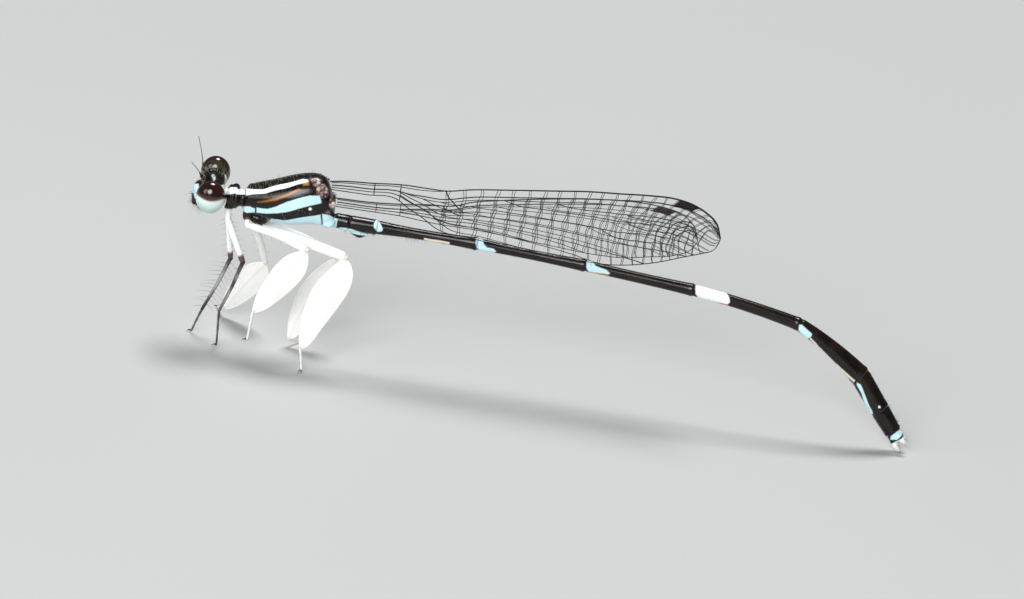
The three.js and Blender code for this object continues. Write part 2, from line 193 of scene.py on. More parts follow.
# The lumps that carry the wings: centre, half sizes and how many hard beads lie on each
WING_HINGES = [
    ((-34.12, 0.7, 10.12), (0.3, 0.28, 0.38), 24),
    ((-34.5, 0.55, 10.45), (0.3, 0.24, 0.2), 12),
    ((-33.62, 0.42, 9.38), (0.33, 0.28, 0.36), 22),
    ((-33.72, 0.62, 8.98), (0.26, 0.2, 0.26), 12),
]

# Wings: root x and z, the blade's start and end along its axis, its edges as distances along and
# above that axis, and how far the root and the blade stand from the body's middle plane. The
# closed wings lean together, so those of the near side stand higher.
WING_SLOPE = math.radians(1.8)
WING_LEAN = 0.35
WING_SETTLES = (0.9, 3.7)
WINGS = {
    "forewing": {
        "root": (-33.85, 10.2),
        "start": 0.1,
        "end": 21.95,
        "y": (0.75, 1.12),
        "lift": math.radians(0.07),
        "leading": [
            (0.0, 0.28), (0.5, 0.37), (2.59, 0.53), (4.0, 0.65), (5.6, 0.63), (6.5, 0.62),
            (7.96, 0.89), (10.0, 1.15), (12.8, 1.48), (14.2, 1.65), (16.15, 1.78), (17.9, 1.9),
            (19.1, 1.91), (20.4, 1.62), (21.1, 1.25), (21.5, 0.93), (21.8, 0.5), (21.95, 0.12),
        ],
        "trailing": [
            (0.0, -0.15), (2.2, -0.19), (3.95, -0.25), (4.6, -0.68), (5.4, -1.1), (6.2, -1.62),
            (8.3, -1.95), (11.7, -2.28), (14.0, -2.42), (16.5, -2.4), (18.5, -1.98),
            (20.3, -1.34), (21.1, -1.06), (21.6, -0.84), (21.85, -0.6), (21.95, -0.36),
        ],
        "first_crossvein": 7.0,
        "stigma": (19.28, 20.38),
    },
    "hindwing": {
        "root": (-33.41, 9.47),
        "start": 0.1,
        "end": 20.3,
        "y": (0.4, 0.33),
        "lift": 0.0,
        "leading": [
            (0.0, 0.13), (2.2, 0.14), (3.6, 0.24), (5.3, 0.44), (6.7, 0.56), (7.5, 0.86),
            (9.15, 1.22), (11.35, 1.6), (13.8, 1.95), (15.8, 2.13), (17.5, 2.14), (18.5, 2.01),
            (19.3, 1.79), (19.8, 1.42), (20.1, 1.05), (20.3, 0.62),
        ],
        "trailing": [
            (0.0, -0.36), (2.3, -0.4), (3.7, -0.43), (5.5, -0.6), (8.3, -0.7), (12.0, -1.01),
            (15.1, -1.22), (16.4, -1.18), (17.65, -0.95), (19.1, -0.67), (19.9, -0.3), (20.3, 0.1),
        ],
        "first_crossvein": 6.5,
        "stigma": (17.7, 18.75),
    },
}
# Long veins: shares of the way along the wing and of the way from the trailing edge to the front
LONG_VEINS = {
    "subcosta": [(0.01, 0.84), (0.14, 0.84), (0.23, 0.9), (0.3, 1.0)],
    "radius": [
        (0.01, 0.54), (0.18, 0.56), (0.24, 0.7), (0.3, 0.79), (0.37, 0.845), (0.5, 0.875),
        (0.65, 0.895), (0.8, 0.91), (0.88, 0.885), (0.94, 0.86), (0.996, 0.8),
    ],
    "nodus": [(0.298, 1.0), (0.303, 0.9), (0.318, 0.75), (0.335, 0.6), (0.35, 0.5)],
    "radius_2": [
        (0.185, 0.58), (0.24, 0.62), (0.3, 0.72), (0.37, 0.78), (0.55, 0.82), (0.73, 0.835),
        (0.87, 0.79), (0.95, 0.7), (0.997, 0.55),
    ],
    "between_1": [(0.58, 0.8), (0.61, 0.76), (0.73, 0.72), (0.87, 0.65), (0.95, 0.52), (0.997, 0.35)],
    "radius_3": [
        (0.45, 0.8), (0.48, 0.74), (0.55, 0.7), (0.73, 0.62), (0.87, 0.53), (0.94, 0.4), (0.99, 0.15),
    ],
    "between_2": [
        (0.29, 0.7), (0.37, 0.64), (0.46, 0.6), (0.55, 0.56), (0.73, 0.47), (0.87, 0.36),
        (0.93, 0.2), (0.965, 0.0),
    ],
    "radius_4": [
        (0.24, 0.62), (0.29, 0.56), (0.37, 0.5), (0.55, 0.43), (0.69, 0.34), (0.8, 0.25),
        (0.88, 0.12), (0.92, 0.0),
    ],
    "media": [
        (0.185, 0.5), (0.26, 0.42), (0.37, 0.36), (0.55, 0.29), (0.66, 0.22), (0.76, 0.12), (0.82, 0.0),
    ],
    "media_2": [(0.185, 0.34), (0.27, 0.26), (0.37, 0.22), (0.52, 0.15), (0.63, 0.08), (0.7, 0.0)],
    "tip_1": [(0.9, 0.87), (0.93, 0.83), (0.97, 0.76), (0.997, 0.66)],
    "tip_2": [(0.76, 0.7), (0.79, 0.66), (0.87, 0.59), (0.94, 0.46), (0.995, 0.22)],
    "tip_3": [(0.76, 0.6), (0.8, 0.51), (0.87, 0.445), (0.93, 0.3), (0.975, 0.05)],
    "tip_4": [(0.7, 0.47), (0.73, 0.4), (0.8, 0.33), (0.88, 0.24), (0.94, 0.0)],
    "cubitus": [
        (0.01, 0.26), (0.185, 0.28), (0.27, 0.26), (0.32, 0.1), (0.41, 0.07), (0.5, 0.03), (0.55, 0.0),
    ],
}
VEIN_RADIUS = 0.022
EDGE_VEIN_RADIUS = 0.034
STRONG_VEIN_RADIUS = 0.032
STRONG_VEINS = ("radius", "nodus")
CROSSVEIN_RADIUS = 0.018
BASAL_CROSSVEINS = (0.118, 0.184)
CROSSVEIN_GAP = 0.97
MEMBRANE_HALF_THICKNESS = 0.012
STIGMA_HALF_THICKNESS = 0.045
STIGMA_LOW = 0.875
STIGMA_HEIGHT = 0.115
STIGMA_SLANT = 0.36
WING_TIP_ROUNDING = 0.32

# Legs: the points where each one bends
LEG_POINTS = {
    "front_left": [
        (-39.1, -0.42, 8.05), (-39.03, -0.58, 7.55), (-37.85, -1.1, 5.4), (-38.75, -0.75, 2.2),
        (-38.62, -0.55, 0.09),
    ],
    "front_right": [
        (-39.15, 0.42, 8.05), (-39.12, 0.6, 7.55), (-38.6, 1.3, 4.65), (-39.75, 0.9, 1.5),
        (-40.15, 1.1, 0.09),
    ],
    "mid_left": [
        (-38.0, -0.7, 7.98), (-37.88, -1.0, 7.6), (-34.4, -2.4, 7.15), (-36.87, -2.1, 2.95),
        (-36.95, -1.95, 1.2),
    ],
    "mid_right": [
        (-38.0, 0.7, 7.98), (-37.88, 1.0, 7.6), (-36.65, 2.7, 4.2), (-38.65, 4.4, 0.5),
        (-39.0, 5.6, 0.09),
    ],
    "hind_left": [
        (-37.1, -0.32, 7.6), (-37.2, -0.45, 7.35), (-32.2, -1.7, 6.85), (-33.95, -2.2, 1.3),
        (-33.7, -2.4, 0.09),
    ],
    "hind_right": [
        (-37.1, 0.32, 7.6), (-37.2, 0.45, 7.35), (-32.7, 1.7, 5.6), (-34.75, 1.2, 0.5),
        (-34.1, 2.2, 0.09),
    ],
}
FEMUR_DEPTH = {"front": (0.2, 0.19, 0.16), "mid": (0.19, 0.22, 0.2), "hind": (0.21, 0.33, 0.25)}
FEMUR_WIDTH = {"front": 0.17, "mid": 0.18, "hind": 0.21}
FEMUR_BOW = {"front": 0.0, "mid": 0.13, "hind": 0.06}
FEMUR_RINGS = 60
FEMUR_SIDES = 20
SHIN_RADII = (0.12, 0.085)
SHIN_RINGS = 40
SHIN_SIDES = 12
TARSUS_RADIUS = {"front": 0.075, "mid": 0.085, "hind": 0.085}
LEAF_RIB_BOW = {"mid": 0.05, "hind": 0.24}
LEAF_HALF_THICKNESS = 0.055
LEAF_THINNING = 0.03
LEAF_RIM = 0.03
LEAF_RIB = 0.03
LEAF_CUP = 0.12
LEAF_FORE = {
    "mid": [
        (0.0, 0.05), (0.03, 0.2), (0.084, 0.43), (0.2, 0.74), (0.332, 0.87), (0.468, 0.86),
        (0.608, 0.78), (0.752, 0.64), (0.879, 0.46), (0.964, 0.22), (1.0, 0.07),
    ],
    "hind": [
        (0.0, 0.05), (0.03, 0.3), (0.09, 0.66), (0.2, 0.93), (0.332, 0.99), (0.468, 0.89),
        (0.583, 0.77), (0.753, 0.58), (0.868, 0.46), (0.964, 0.25), (1.0, 0.08),
    ],
}
LEAF_AFT = {
    "mid": [
        (0.0, 0.1), (0.03, 0.16), (0.089, 0.37), (0.185, 0.62), (0.327, 0.75), (0.445, 0.76),
        (0.605, 0.66), (0.745, 0.56), (0.863, 0.38), (0.964, 0.15), (1.0, 0.06),
    ],
    "hind": [
        (0.0, 0.1), (0.04, 0.2), (0.11, 0.4), (0.249, 0.7), (0.416, 0.88), (0.599, 0.85),
        (0.768, 0.66), (0.899, 0.38), (0.96, 0.2), (1.0, 0.07),
    ],
}

# Markings of the left side, as outlines in the photograph's pixels
WHITE_MARKS = [
    [(222, 186), (227.4, 187), (228.4, 189.2), (231, 187.6), (237, 187.4), (239.2, 189.6),
     (242, 188.2), (245.5, 189.4), (245.5, 194.2), (239, 194.6), (236, 193.6), (229, 194.8),
     (223, 193.4)],
    [(246.5, 188.3), (253, 189.8), (264, 189.6), (270.6, 187.3), (284, 184.2), (296, 181.5),
     (303, 179.3), (308, 179.6), (309, 182), (302, 184.2), (296, 185.5), (284, 189.1),
     (273, 191.8), (266, 193.6), (255, 194.5), (246.5, 195.6)],
    [(309.6, 208.2), (311, 207.6), (312.4, 208.4), (312.2, 210), (310.6, 210.6), (309.4, 209.6)],
    [(695.6, 280), (705, 283), (720, 287.6), (725.5, 291.4), (728.5, 297), (729.6, 302),
     (727.4, 304.4), (716, 302.2), (698, 298.2), (695.2, 294)],
    [(878.4, 406), (880.6, 406), (880.8, 408.2), (878.6, 408.4)],
]
CYAN_MARKS = [
    [(257.4, 208), (268.5, 209), (276.4, 207.4), (287.4, 201.9), (296.9, 199.5), (311, 195.6),
     (320.6, 196.2), (322, 203.5), (311, 205.8), (296.9, 209.8), (287.4, 212.2), (278, 213.8),
     (268.5, 213.8), (257.4, 213)],
    [(243.5, 206.5), (250, 206.8), (255.5, 209), (255.5, 213), (248, 213), (243.5, 211)],
    [(271.5, 218.8), (275, 219.6), (284.3, 220.6), (296.9, 218.7), (311, 216.2),
     (321, 215.2), (322, 227), (300, 228), (284, 227), (275, 224.5), (270.5, 221.4)],
    [(322.7, 214.5), (330, 215.5), (337.5, 219), (337, 226), (331, 230), (323, 228)],
    [(340, 227.4), (352, 229.4), (362, 232.2), (370, 234.8), (366, 236), (358, 234.6),
     (348, 232), (340, 230)],
    [(376.1, 219.6), (379.2, 221.2), (383.2, 229), (382.2, 231.2), (377.7, 231.8), (374.5, 228),
     (374.2, 223.5)],
    [(476.4, 238), (479.6, 237.2), (482.7, 239.6), (483.7, 244.6), (487.5, 247.7), (493.8, 248.6),
     (496.3, 251.6), (493.8, 252.8), (481.1, 251.4), (476.8, 247.6), (475.6, 242.4)],
    [(586, 257), (591.6, 257.6), (593.4, 263), (596, 266), (601.4, 268.4), (606.8, 270.2),
     (609.8, 273.6), (608, 274.4), (599.6, 273.4), (588.8, 271.4), (586.2, 267.8)],
    [(798.9, 324.2), (802.1, 324.8), (805.3, 328), (811.8, 334.3), (810.7, 336.6),
     (807.4, 338.9), (802.1, 334.7), (798.3, 330.3)],
    [(857, 382.6), (860.7, 384.6), (864.7, 394.3), (873, 413.3), (871.2, 414.7), (866.3, 406.2),
     (861.6, 394.2), (857, 385.2)],
    [(901.7, 428.8), (905.4, 432.2), (897.9, 440), (891, 439.8), (891.6, 436), (896.8, 432)],
]
CREAM_MARKS = [
    [(424, 237.8), (436, 240), (449.5, 242.2), (449.5, 244.4), (436, 242.6), (424, 239.8)],
    [(810, 337.2), (832, 359.8), (855.2, 380.6), (854.2, 382.4), (830.8, 361.6), (809.2, 339)],
]
AMBER_MARKS = [
    [(258, 202.4), (277, 198.8), (284, 195.8), (291, 192.8), (300, 189.4), (301.4, 190.8),
     (291, 194.8), (284, 197.8), (277, 200.8)],
    [(303, 183), (309, 181.6), (309.5, 185), (304, 186)],
    [(696, 297), (716, 301.4), (728, 304.4), (728, 308.6), (715, 306), (696, 301.6)],
    [(587, 270.6), (600, 272.8), (608, 274), (608, 277), (599, 276), (587, 274)],
]
HEAD_CYAN_MARKS = [
    [(191, 183.5), (199, 184), (200, 198.5), (195.5, 198.5), (194.5, 193), (190, 192.5)],
]
HEAD_CREAM_MARKS = [
    [(221, 185.5), (226, 184.5), (228.5, 190), (227, 194.5), (222, 193.5)],
]
EYE_CAP_EDGE = [(190, 186), (196, 193), (203, 198.8), (210, 201.7), (214, 202), (219, 201.2), (226, 199)]

# The studio: each light's azimuth and elevation in degrees, distance and size in metres, and watts
LIGHTS = {
    "key": (-14, 28, 0.45, 0.24, 1.6),
    "overhead": (178, 73, 0.42, 0.16, 1.5),
    "side": (-50, 22, 0.5, 0.25, 0.5),
}
FLOOR_REACH = 3.0
FLOOR_COLOURS = ((0.48, 0.49, 0.485), (0.505, 0.515, 0.51))
SKY_COLOUR = (0.93, 0.96, 1.0, 1)
SKY_STRENGTH = 0.14

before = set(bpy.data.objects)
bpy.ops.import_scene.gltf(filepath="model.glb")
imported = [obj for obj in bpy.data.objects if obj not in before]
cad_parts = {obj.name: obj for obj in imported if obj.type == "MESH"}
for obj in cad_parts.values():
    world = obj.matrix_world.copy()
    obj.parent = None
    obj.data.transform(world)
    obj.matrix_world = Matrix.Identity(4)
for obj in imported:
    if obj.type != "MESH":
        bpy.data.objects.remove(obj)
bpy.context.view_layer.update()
rng = random.Random(7)

# Where the body frame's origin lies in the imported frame, in metres
low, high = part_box("prothorax")
ORIGIN = np.array([
    low.x - PROTHORAX_FRONT * MM,
    (low.y + high.y) / 2,
    high.z - PROTHORAX_TOP * MM,
])


# Numbers and curves

def unit(vectors):
    vectors = np.asarray(vectors, float)
    return vectors / np.maximum(np.linalg.norm(vectors, axis=-1, keepdims=True), 1e-12)


def smoothstep(value, low, high):
    share = np.clip((np.asarray(value, float) - low) / (high - low), 0, 1)
    return share * share * (3 - 2 * share)


def smooth_through(table):
    """A smooth function through pairs of a position and a value."""
    places, values = np.array(table, float).T
    slopes = np.gradient(values, places)

    def value_at(place):
        place = np.clip(np.asarray(place, float), places[0], places[-1])
        index = np.clip(np.searchsorted(places, place) - 1, 0, len(places) - 2)
        width = places[index + 1] - places[index]
        share = (place - places[index]) / width
        rest = 1 - share
        ends = rest ** 2 * (1 + 2 * share) * values[index] + share ** 2 * (3 - 2 * share) * values[index + 1]
        pulls = rest ** 2 * share * slopes[index] - share ** 2 * rest * slopes[index + 1]
        return ends + width * pulls

    return value_at


def smooth_path(points, count):
    """Points spread evenly along a smooth line through the given ones."""
    points = np.array(points, float)
    steps = np.concatenate([[0], np.cumsum(np.sqrt(np.linalg.norm(np.diff(points, axis=0), axis=1)))])
    fine = np.linspace(0, steps[-1], 200)
    line = np.column_stack([smooth_through(np.column_stack([steps, column]))(fine) for column in points.T])
    length = np.concatenate([[0], np.cumsum(np.linalg.norm(np.diff(line, axis=0), axis=1))])
    wanted = np.linspace(0, length[-1], count)
    return np.column_stack([np.interp(wanted, length, column) for column in line.T])


def between(values, low, high):
    return (values > low) & (values < high)


def blend_three(start, middle, end, share):
    bulge = middle - (start + end) / 2
    return start + (end - start) * share + 4 * bulge * share * (1 - share)


def photo_pixel(points):
    """The photograph's pixel for each point, as its columns u and v."""
    x, y, z = np.asarray(points, float).T
    rise = y * math.sin(PHOTO_ELEVATION) + (z - TAIL_HEIGHT) * math.cos(PHOTO_ELEVATION)
    u = TAIL_PIXEL[0] + PIXELS_PER_MM * (x * math.cos(PHOTO_ROLL) + rise * math.sin(PHOTO_ROLL))
    v = TAIL_PIXEL[1] + PIXELS_PER_MM * (x * math.sin(PHOTO_ROLL) - rise * math.cos(PHOTO_ROLL))
    return np.column_stack([u, v])


def turn_x(points, angle):
    x, y, z = np.asarray(points, float).T
    return np.column_stack([
        x,
        y * math.cos(angle) - z * math.sin(angle),
        y * math.sin(angle) + z * math.cos(angle),
    ])


def from_head(points):
    return turn_x(points, HEAD_ROLL) + np.array(HEAD_CENTRE)


def to_head(points):
    return turn_x(np.asarray(points, float) - np.array(HEAD_CENTRE), -HEAD_ROLL)


def inside(pixels, outline, softness=0.8):
    """1 inside an outline of pixels and 0 outside it, with a soft edge."""
    corners = np.array(outline, float)
    best = np.full(len(pixels), 1e9)
    is_in = np.zeros(len(pixels), bool)
    for start, end in zip(corners, np.roll(corners, -1, axis=0)):
        edge = end - start
        offset = pixels - start
        share = np.clip((offset @ edge) / (edge @ edge), 0, 1)
        best = np.minimum(best, np.linalg.norm(offset - share[:, None] * edge, axis=1))
        crosses = (start[1] > pixels[:, 1]) != (end[1] > pixels[:, 1])
        rise = edge[1] if abs(edge[1]) > 1e-9 else 1e-9
        is_in ^= crosses & (pixels[:, 0] < start[0] + (pixels[:, 1] - start[1]) / rise * edge[0])
    signed = np.where(is_in, best, -best)
    return smoothstep(signed, -softness / 2, softness / 2)


def any_inside(pixels, outlines, softness=0.8):
    return np.max([inside(pixels, outline, softness) for outline in outlines], axis=0)


# Meshes

class Shape:
    """Closed forms gathered for one mesh, with a value of each named mark at each point."""

    def __init__(self):
        self.parts = []

    def add(self, form, **marks):
        self.parts.append((*form, marks))

    def gather(self):
        names = sorted({name for _, _, marks in self.parts for name in marks})
        points = np.concatenate([part[0] for part in self.parts])
        faces = []
        count = 0
        for part_points, part_faces, _ in self.parts:
            faces.extend(tuple(index + count for index in face) for face in part_faces)
            count += len(part_points)
        columns = {
            name: np.concatenate([
                np.broadcast_to(np.asarray(marks.get(name, 0.0), float), (len(part_points),))
                for part_points, _, marks in self.parts
            ])
            for name in names
        }
        return points, faces, columns


def loft(centres, acrosses, uprights, sides=12, boxiness=1.0):
    """A closed skin of oval rings. acrosses and uprights hold each ring's half sizes as vectors."""
    centres, acrosses, uprights = (np.asarray(a, float) for a in (centres, acrosses, uprights))
    angles = np.arange(sides) * 2 * math.pi / sides
    cosines = np.sign(np.cos(angles)) * np.abs(np.cos(angles)) ** boxiness
    sines = np.sign(np.sin(angles)) * np.abs(np.sin(angles)) ** boxiness
    rings = (
        centres[:, None]
        + cosines[None, :, None] * acrosses[:, None]
        + sines[None, :, None] * uprights[:, None]
    )
    count = len(centres)
    points = np.concatenate([rings.reshape(-1, 3), centres[:1], centres[-1:]])
    faces = []
    for start in range(0, (count - 1) * sides, sides):
        for side in range(sides):
            after = (side + 1) % sides
            faces.append((start + side, start + after, start + sides + after, start + sides + side))
    first, last = count * sides, count * sides + 1
    for side in range(sides):
        after = (side + 1) % sides
        faces.append((first, after, side))
        faces.append((last, (count - 1) * sides + side, (count - 1) * sides + after))
    return points, faces


def tube(points, radii, sides=8, up=Z_AXIS, flatness=1.0):
    """A closed tube along points. radii are its half depths along up; flatness shares its width."""
    points = np.asarray(points, float)
    radii = np.broadcast_to(np.asarray(radii, float), (len(points),))
    tangents = unit(np.gradient(points, axis=0))
    across = unit(np.cross(tangents, np.array(up, float)))
    upright = unit(np.cross(across, tangents))
    return loft(points, across * radii[:, None] * flatness, upright * radii[:, None], sides)


def ellipsoid(centre, half, columns=28, rows=18):
    angles = np.linspace(0, math.pi, rows + 1)[1:-1]
    centres = np.array([[0, 0, math.cos(angle)] for angle in angles])
    radii = np.sin(angles)
    points, faces = loft(centres, np.outer(radii, [1, 0, 0]), np.outer(radii, [0, 1, 0]), columns)
    points[-2] = (0, 0, 1)
    points[-1] = (0, 0, -1)
    return points * np.array(half) + np.array(centre), faces


def lumps(table, signs=(1,), columns=28, rows=18):
    """Ellipsoids from rows that start with a centre and half sizes, on each side in signs."""
    return [
        ellipsoid(np.array(row[0]) * (1, sign, 1), row[1], columns, rows)
        for sign in signs
        for row in table
    ]


def plate(columns, rows, place):
    """A closed thin plate. place(along, across, side) gives points, side being -1 or 1."""
    along, across = (a.ravel() for a in np.meshgrid(
        np.linspace(0, 1, columns + 1), np.linspace(0, 1, rows + 1), indexing="ij"))
    points = np.concatenate([place(along, across, side) for side in (-1.0, 1.0)])
    stride = rows + 1
    layer = (columns + 1) * stride
    faces = []
    for column in range(columns):
        for row in range(rows):
            a = column * stride + row
            faces.append((a, a + 1, a + stride + 1, a + stride))
            faces.append((layer + a, layer + a + stride, layer + a + stride + 1, layer + a + 1))
    border = (
        [(column * stride, (column + 1) * stride) for column in range(columns)]
        + [(columns * stride + row, columns * stride + row + 1) for row in range(rows)]
        + [((column + 1) * stride + rows, column * stride + rows) for column in range(columns)]
        + [(row + 1, row) for row in range(rows)]
    )
    for a, b in border:
        faces.append((a, b, layer + b, layer + a))
    return points, faces


def new_mesh(name, points, faces):
    mesh = bpy.data.meshes.new(name)
    mesh.from_pydata([tuple(p) for p in points], [], [tuple(f) for f in faces])
    work = bmesh.new()
    work.from_mesh(mesh)
    bmesh.ops.recalc_face_normals(work, faces=work.faces)
    work.to_mesh(mesh)
    work.free()
    mesh.polygons.foreach_set("use_smooth", [True] * len(mesh.polygons))
    return mesh


def new_object(name, data):
    thing = bpy.data.objects.new(name, data)
    bpy.context.scene.collection.objects.link(thing)
    return thing


def make_piece(name, gathered, material, replaces=()):
    """A piece of the model from points in millimetres, riding on the body."""
    points, faces, marks = gathered
    mesh = new_mesh(name, np.asarray(points) * MM + ORIGIN, faces)
    for mark, values in marks.items():
        mesh.attributes.new(mark, "FLOAT", "POINT").data.foreach_set("value", values.astype(np.float32))
    mesh.materials.append(material)
    piece = new_object(name, mesh)
    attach(piece, "root")
    if replaces:
        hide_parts(*replaces)
    return piece


def joined_skin(shape, voxel, softenings):
    """One closed skin round all the forms of a shape, as its points, faces and normals."""
    points, faces, _ = shape.gather()
    draft = new_object("skin_draft", new_mesh("skin_draft", points, faces))
    remesh = draft.modifiers.new("join", "REMESH")
    remesh.mode = "VOXEL"
    remesh.voxel_size = voxel
    soften = draft.modifiers.new("soften", "SMOOTH")
    soften.factor = 0.5
    soften.iterations = softenings
    result = bpy.data.meshes.new_from_object(draft.evaluated_get(bpy.context.evaluated_depsgraph_get()))
    skin_points = np.empty(len(result.vertices) * 3)
    result.vertices.foreach_get("co", skin_points)
    normals = np.array([v.normal[:] for v in result.vertices])
    skin_faces = [tuple(polygon.vertices) for polygon in result.polygons]
    bpy.data.objects.remove(draft)
    return skin_points.reshape(-1, 3), skin_faces, normals


# Materials

class Look:
    """A node material that is put together step by step."""

    def __init__(self, name):
        self.material = bpy.data.materials.new(name)
        self.material.use_nodes = True
        self.nodes = self.material.node_tree.nodes
        self.links = self.material.node_tree.links
        self.place = self.node("ShaderNodeTexCoord").outputs["Object"]

    def feed(self, socket, source):
        if isinstance(source, bpy.types.NodeSocket):
            self.links.new(source, socket)
        else:
            socket.default_value = source

    def feed_all(self, node, inputs):
        for name, source in inputs.items():
            self.feed(node.inputs[name.replace("_", " ")], source)
        return node

    def node(self, kind, **inputs):
        return self.feed_all(self.nodes.new(kind), inputs)

    def mark(self, name):
        node = self.node("ShaderNodeAttribute")
        node.attribute_name = name
        return node.outputs["Fac"]

    def noise(self, size, detail=3.0, stretch=(1, 1, 1)):
        """Noise with features of a size in millimetres."""
        mapping = self.node("ShaderNodeMapping", Scale=stretch, Vector=self.place)
        return self.node(
            "ShaderNodeTexNoise", Scale=1 / (size * MM), Detail=detail, Roughness=0.55,
            Vector=mapping.outputs["Vector"],
        ).outputs["Fac"]

    def cells(self, size):
        node = self.node("ShaderNodeTexVoronoi", Scale=1 / (size * MM), Vector=self.place)
        return node.outputs["Distance"]

    def ramp(self, value, low, high, start=0.0, end=1.0):
        return self.node(
            "ShaderNodeMapRange", Value=value, From_Min=low, From_Max=high, To_Min=start, To_Max=end,
        ).outputs["Result"]

    def math(self, operation, first, second):
        node = self.node("ShaderNodeMath")
        node.operation = operation
        self.feed(node.inputs[0], first)
        self.feed(node.inputs[1], second)
        return node.outputs[0]

    def mix(self, factor, *colours):
        node = self.node("ShaderNodeMix")
        node.data_type = "RGBA"
        self.feed(node.inputs[0], factor)
        for socket, colour in zip((6, 7), colours):
            self.feed(node.inputs[socket], (*colour, 1) if isinstance(colour, tuple) else colour)
        return node.outputs[2]

    def paint(self, colour, **tints):
        """The colour with a tint laid over it at each mark."""
        for name, tint in tints.items():
            colour = self.mix(self.mark(name), colour, tint)
        return colour

    def bump(self, height, distance, strength=1.0, after=None):
        node = self.node("ShaderNodeBump", Height=height, Distance=distance * MM, Strength=strength)
        if after is not None:
            self.feed(node.inputs["Normal"], after)
        return node.outputs["Normal"]

    def finish(self, **inputs):
        self.feed_all(self.nodes["Principled BSDF"], inputs)
        return self.material


def skin_look():
    look = Look("chitin")
    grain = look.noise(0.22, 4.0)
    patches = look.ramp(look.noise(0.9), 0.42, 0.68)
    beads = look.ramp(look.noise(0.12), 0.42, 0.58)
    colour = look.paint(
        look.mix(patches, (0.003, 0.0026, 0.0024), (0.017, 0.008, 0.0045)),
        amber=look.mix(look.ramp(grain, 0.2, 0.8), (0.36, 0.12, 0.02), (0.66, 0.27, 0.05)),
        hinge=look.mix(beads, (0.02, 0.01, 0.008), (0.3, 0.2, 0.18)),
        cream=look.mix(grain, (0.72, 0.66, 0.5), (0.82, 0.78, 0.64)),
        cyan=look.mix(grain, (0.5, 0.8, 0.89), (0.68, 0.89, 0.95)),
        white=look.mix(grain, (0.84, 0.9, 0.92), (0.93, 0.95, 0.96)),
    )
    pale = look.math("MAXIMUM", look.mark("white"), look.mark("cyan"))
    dullness = look.math("ADD", look.math("MULTIPLY", pale, 0.5), look.math("MULTIPLY", grain, 0.3))
    fine = look.bump(look.noise(0.06), 0.012, 0.5)
    return look.finish(
        Base_Color=colour, Roughness=look.ramp(dullness, 0.0, 0.8, 0.14, 0.5),
        Normal=look.bump(look.mark("groove"), 0.05, 1.0, fine),
        Coat_Weight=0.08, Coat_Roughness=0.1, Specular_IOR_Level=0.35,
    )


def hinge_look():
    look = Look("wing_hinge")
    grain = look.noise(0.08)
    dark = look.mix(grain, (0.03, 0.014, 0.01), (0.12, 0.06, 0.045))
    light = look.mix(grain, (0.5, 0.36, 0.33), (0.85, 0.76, 0.74))
    return look.finish(
        Base_Color=look.mix(look.mark("shade"), dark, light),
        Roughness=look.ramp(grain, 0.3, 0.7, 0.25, 0.45), Normal=look.bump(grain, 0.01, 0.5),
    )


def eye_look():
    look = Look("eye")
    grain = look.noise(0.3)
    # Painted sheen: the dark cap turns olive-bronze on each eye's inner side, towards the head's middle
    cap = look.mix(look.mark("painted_crown_sheen"), (0.022, 0.004, 0.003), (0.04, 0.036, 0.018))
    cap = look.mix(look.ramp(grain, 0.45, 0.75), cap, (0.009, 0.004, 0.003))
    base = look.mix(look.mark("belly"), (0.7, 0.82, 0.78), (0.42, 0.6, 0.58))
    return look.finish(
        Base_Color=look.paint(cap, rim=(0.13, 0.035, 0.015), pale=base), Roughness=0.16,
        Normal=look.bump(look.cells(0.035), 0.004, 0.35),
        Coat_Weight=0.6, Coat_Roughness=0.05, Specular_IOR_Level=0.3,
    )


def leg_look():
    look = Look("white_cuticle")
    grain = look.noise(0.25, 4.0)
    colour = look.paint(
        look.mix(look.ramp(grain, 0.35, 0.7), (0.92, 0.92, 0.89), (0.96, 0.96, 0.95)),
        warm=(0.78, 0.6, 0.42),
        rim=(0.93, 0.9, 0.8),
        rib=(0.55, 0.5, 0.42),
        dark=look.mix(grain, (0.05, 0.025, 0.02), (0.14, 0.08, 0.06)),
    )
    return look.finish(
        Base_Color=colour, Roughness=look.ramp(grain, 0.3, 0.7, 0.38, 0.55),
        Normal=look.bump(look.noise(0.5, stretch=(1, 1, 0.35)), 0.04, 0.5),
        Subsurface_Weight=0.2, Subsurface_Scale=0.0003, Subsurface_Radius=(1.0, 0.9, 0.8),
    )


def shin_look():
    look = Look("dark_cuticle")
    streak = look.noise(0.35, 4.0, (1, 1, 0.3))
    colour = look.mix(look.ramp(streak, 0.4, 0.62), (0.32, 0.3, 0.31), (0.06, 0.045, 0.045))
    return look.finish(
        Base_Color=look.paint(colour, dark=(0.015, 0.012, 0.012)),
        Roughness=look.ramp(streak, 0.3, 0.7, 0.3, 0.5), Normal=look.bump(look.noise(0.08), 0.01, 0.5),
    )


def plain_look(name, light, dark, roughness, size, **more):
    """A look for small dark or pale parts, with uneven colour and gloss."""
    look = Look(name)
    grain = look.noise(size)
    return look.finish(
        Base_Color=look.mix(grain, light, dark),
        Roughness=look.ramp(grain, 0.3, 0.7, roughness * 0.8, roughness * 1.2),
        Normal=look.bump(grain, size * 0.05, 0.4), **more,
    )


def membrane_look():
    look = Look("wing_membrane")
    wave = look.noise(1.4, 2.0)
    return look.finish(
        Base_Color=look.mix(look.ramp(wave, 0.35, 0.65), (0.5, 0.62, 0.6), (0.62, 0.56, 0.6)),
        Alpha=look.ramp(look.noise(0.5), 0.3, 0.7, 0.01, 0.035),
        Normal=look.bump(wave, 0.12, 0.6), Roughness=0.12, Specular_IOR_Level=0.8,
    )


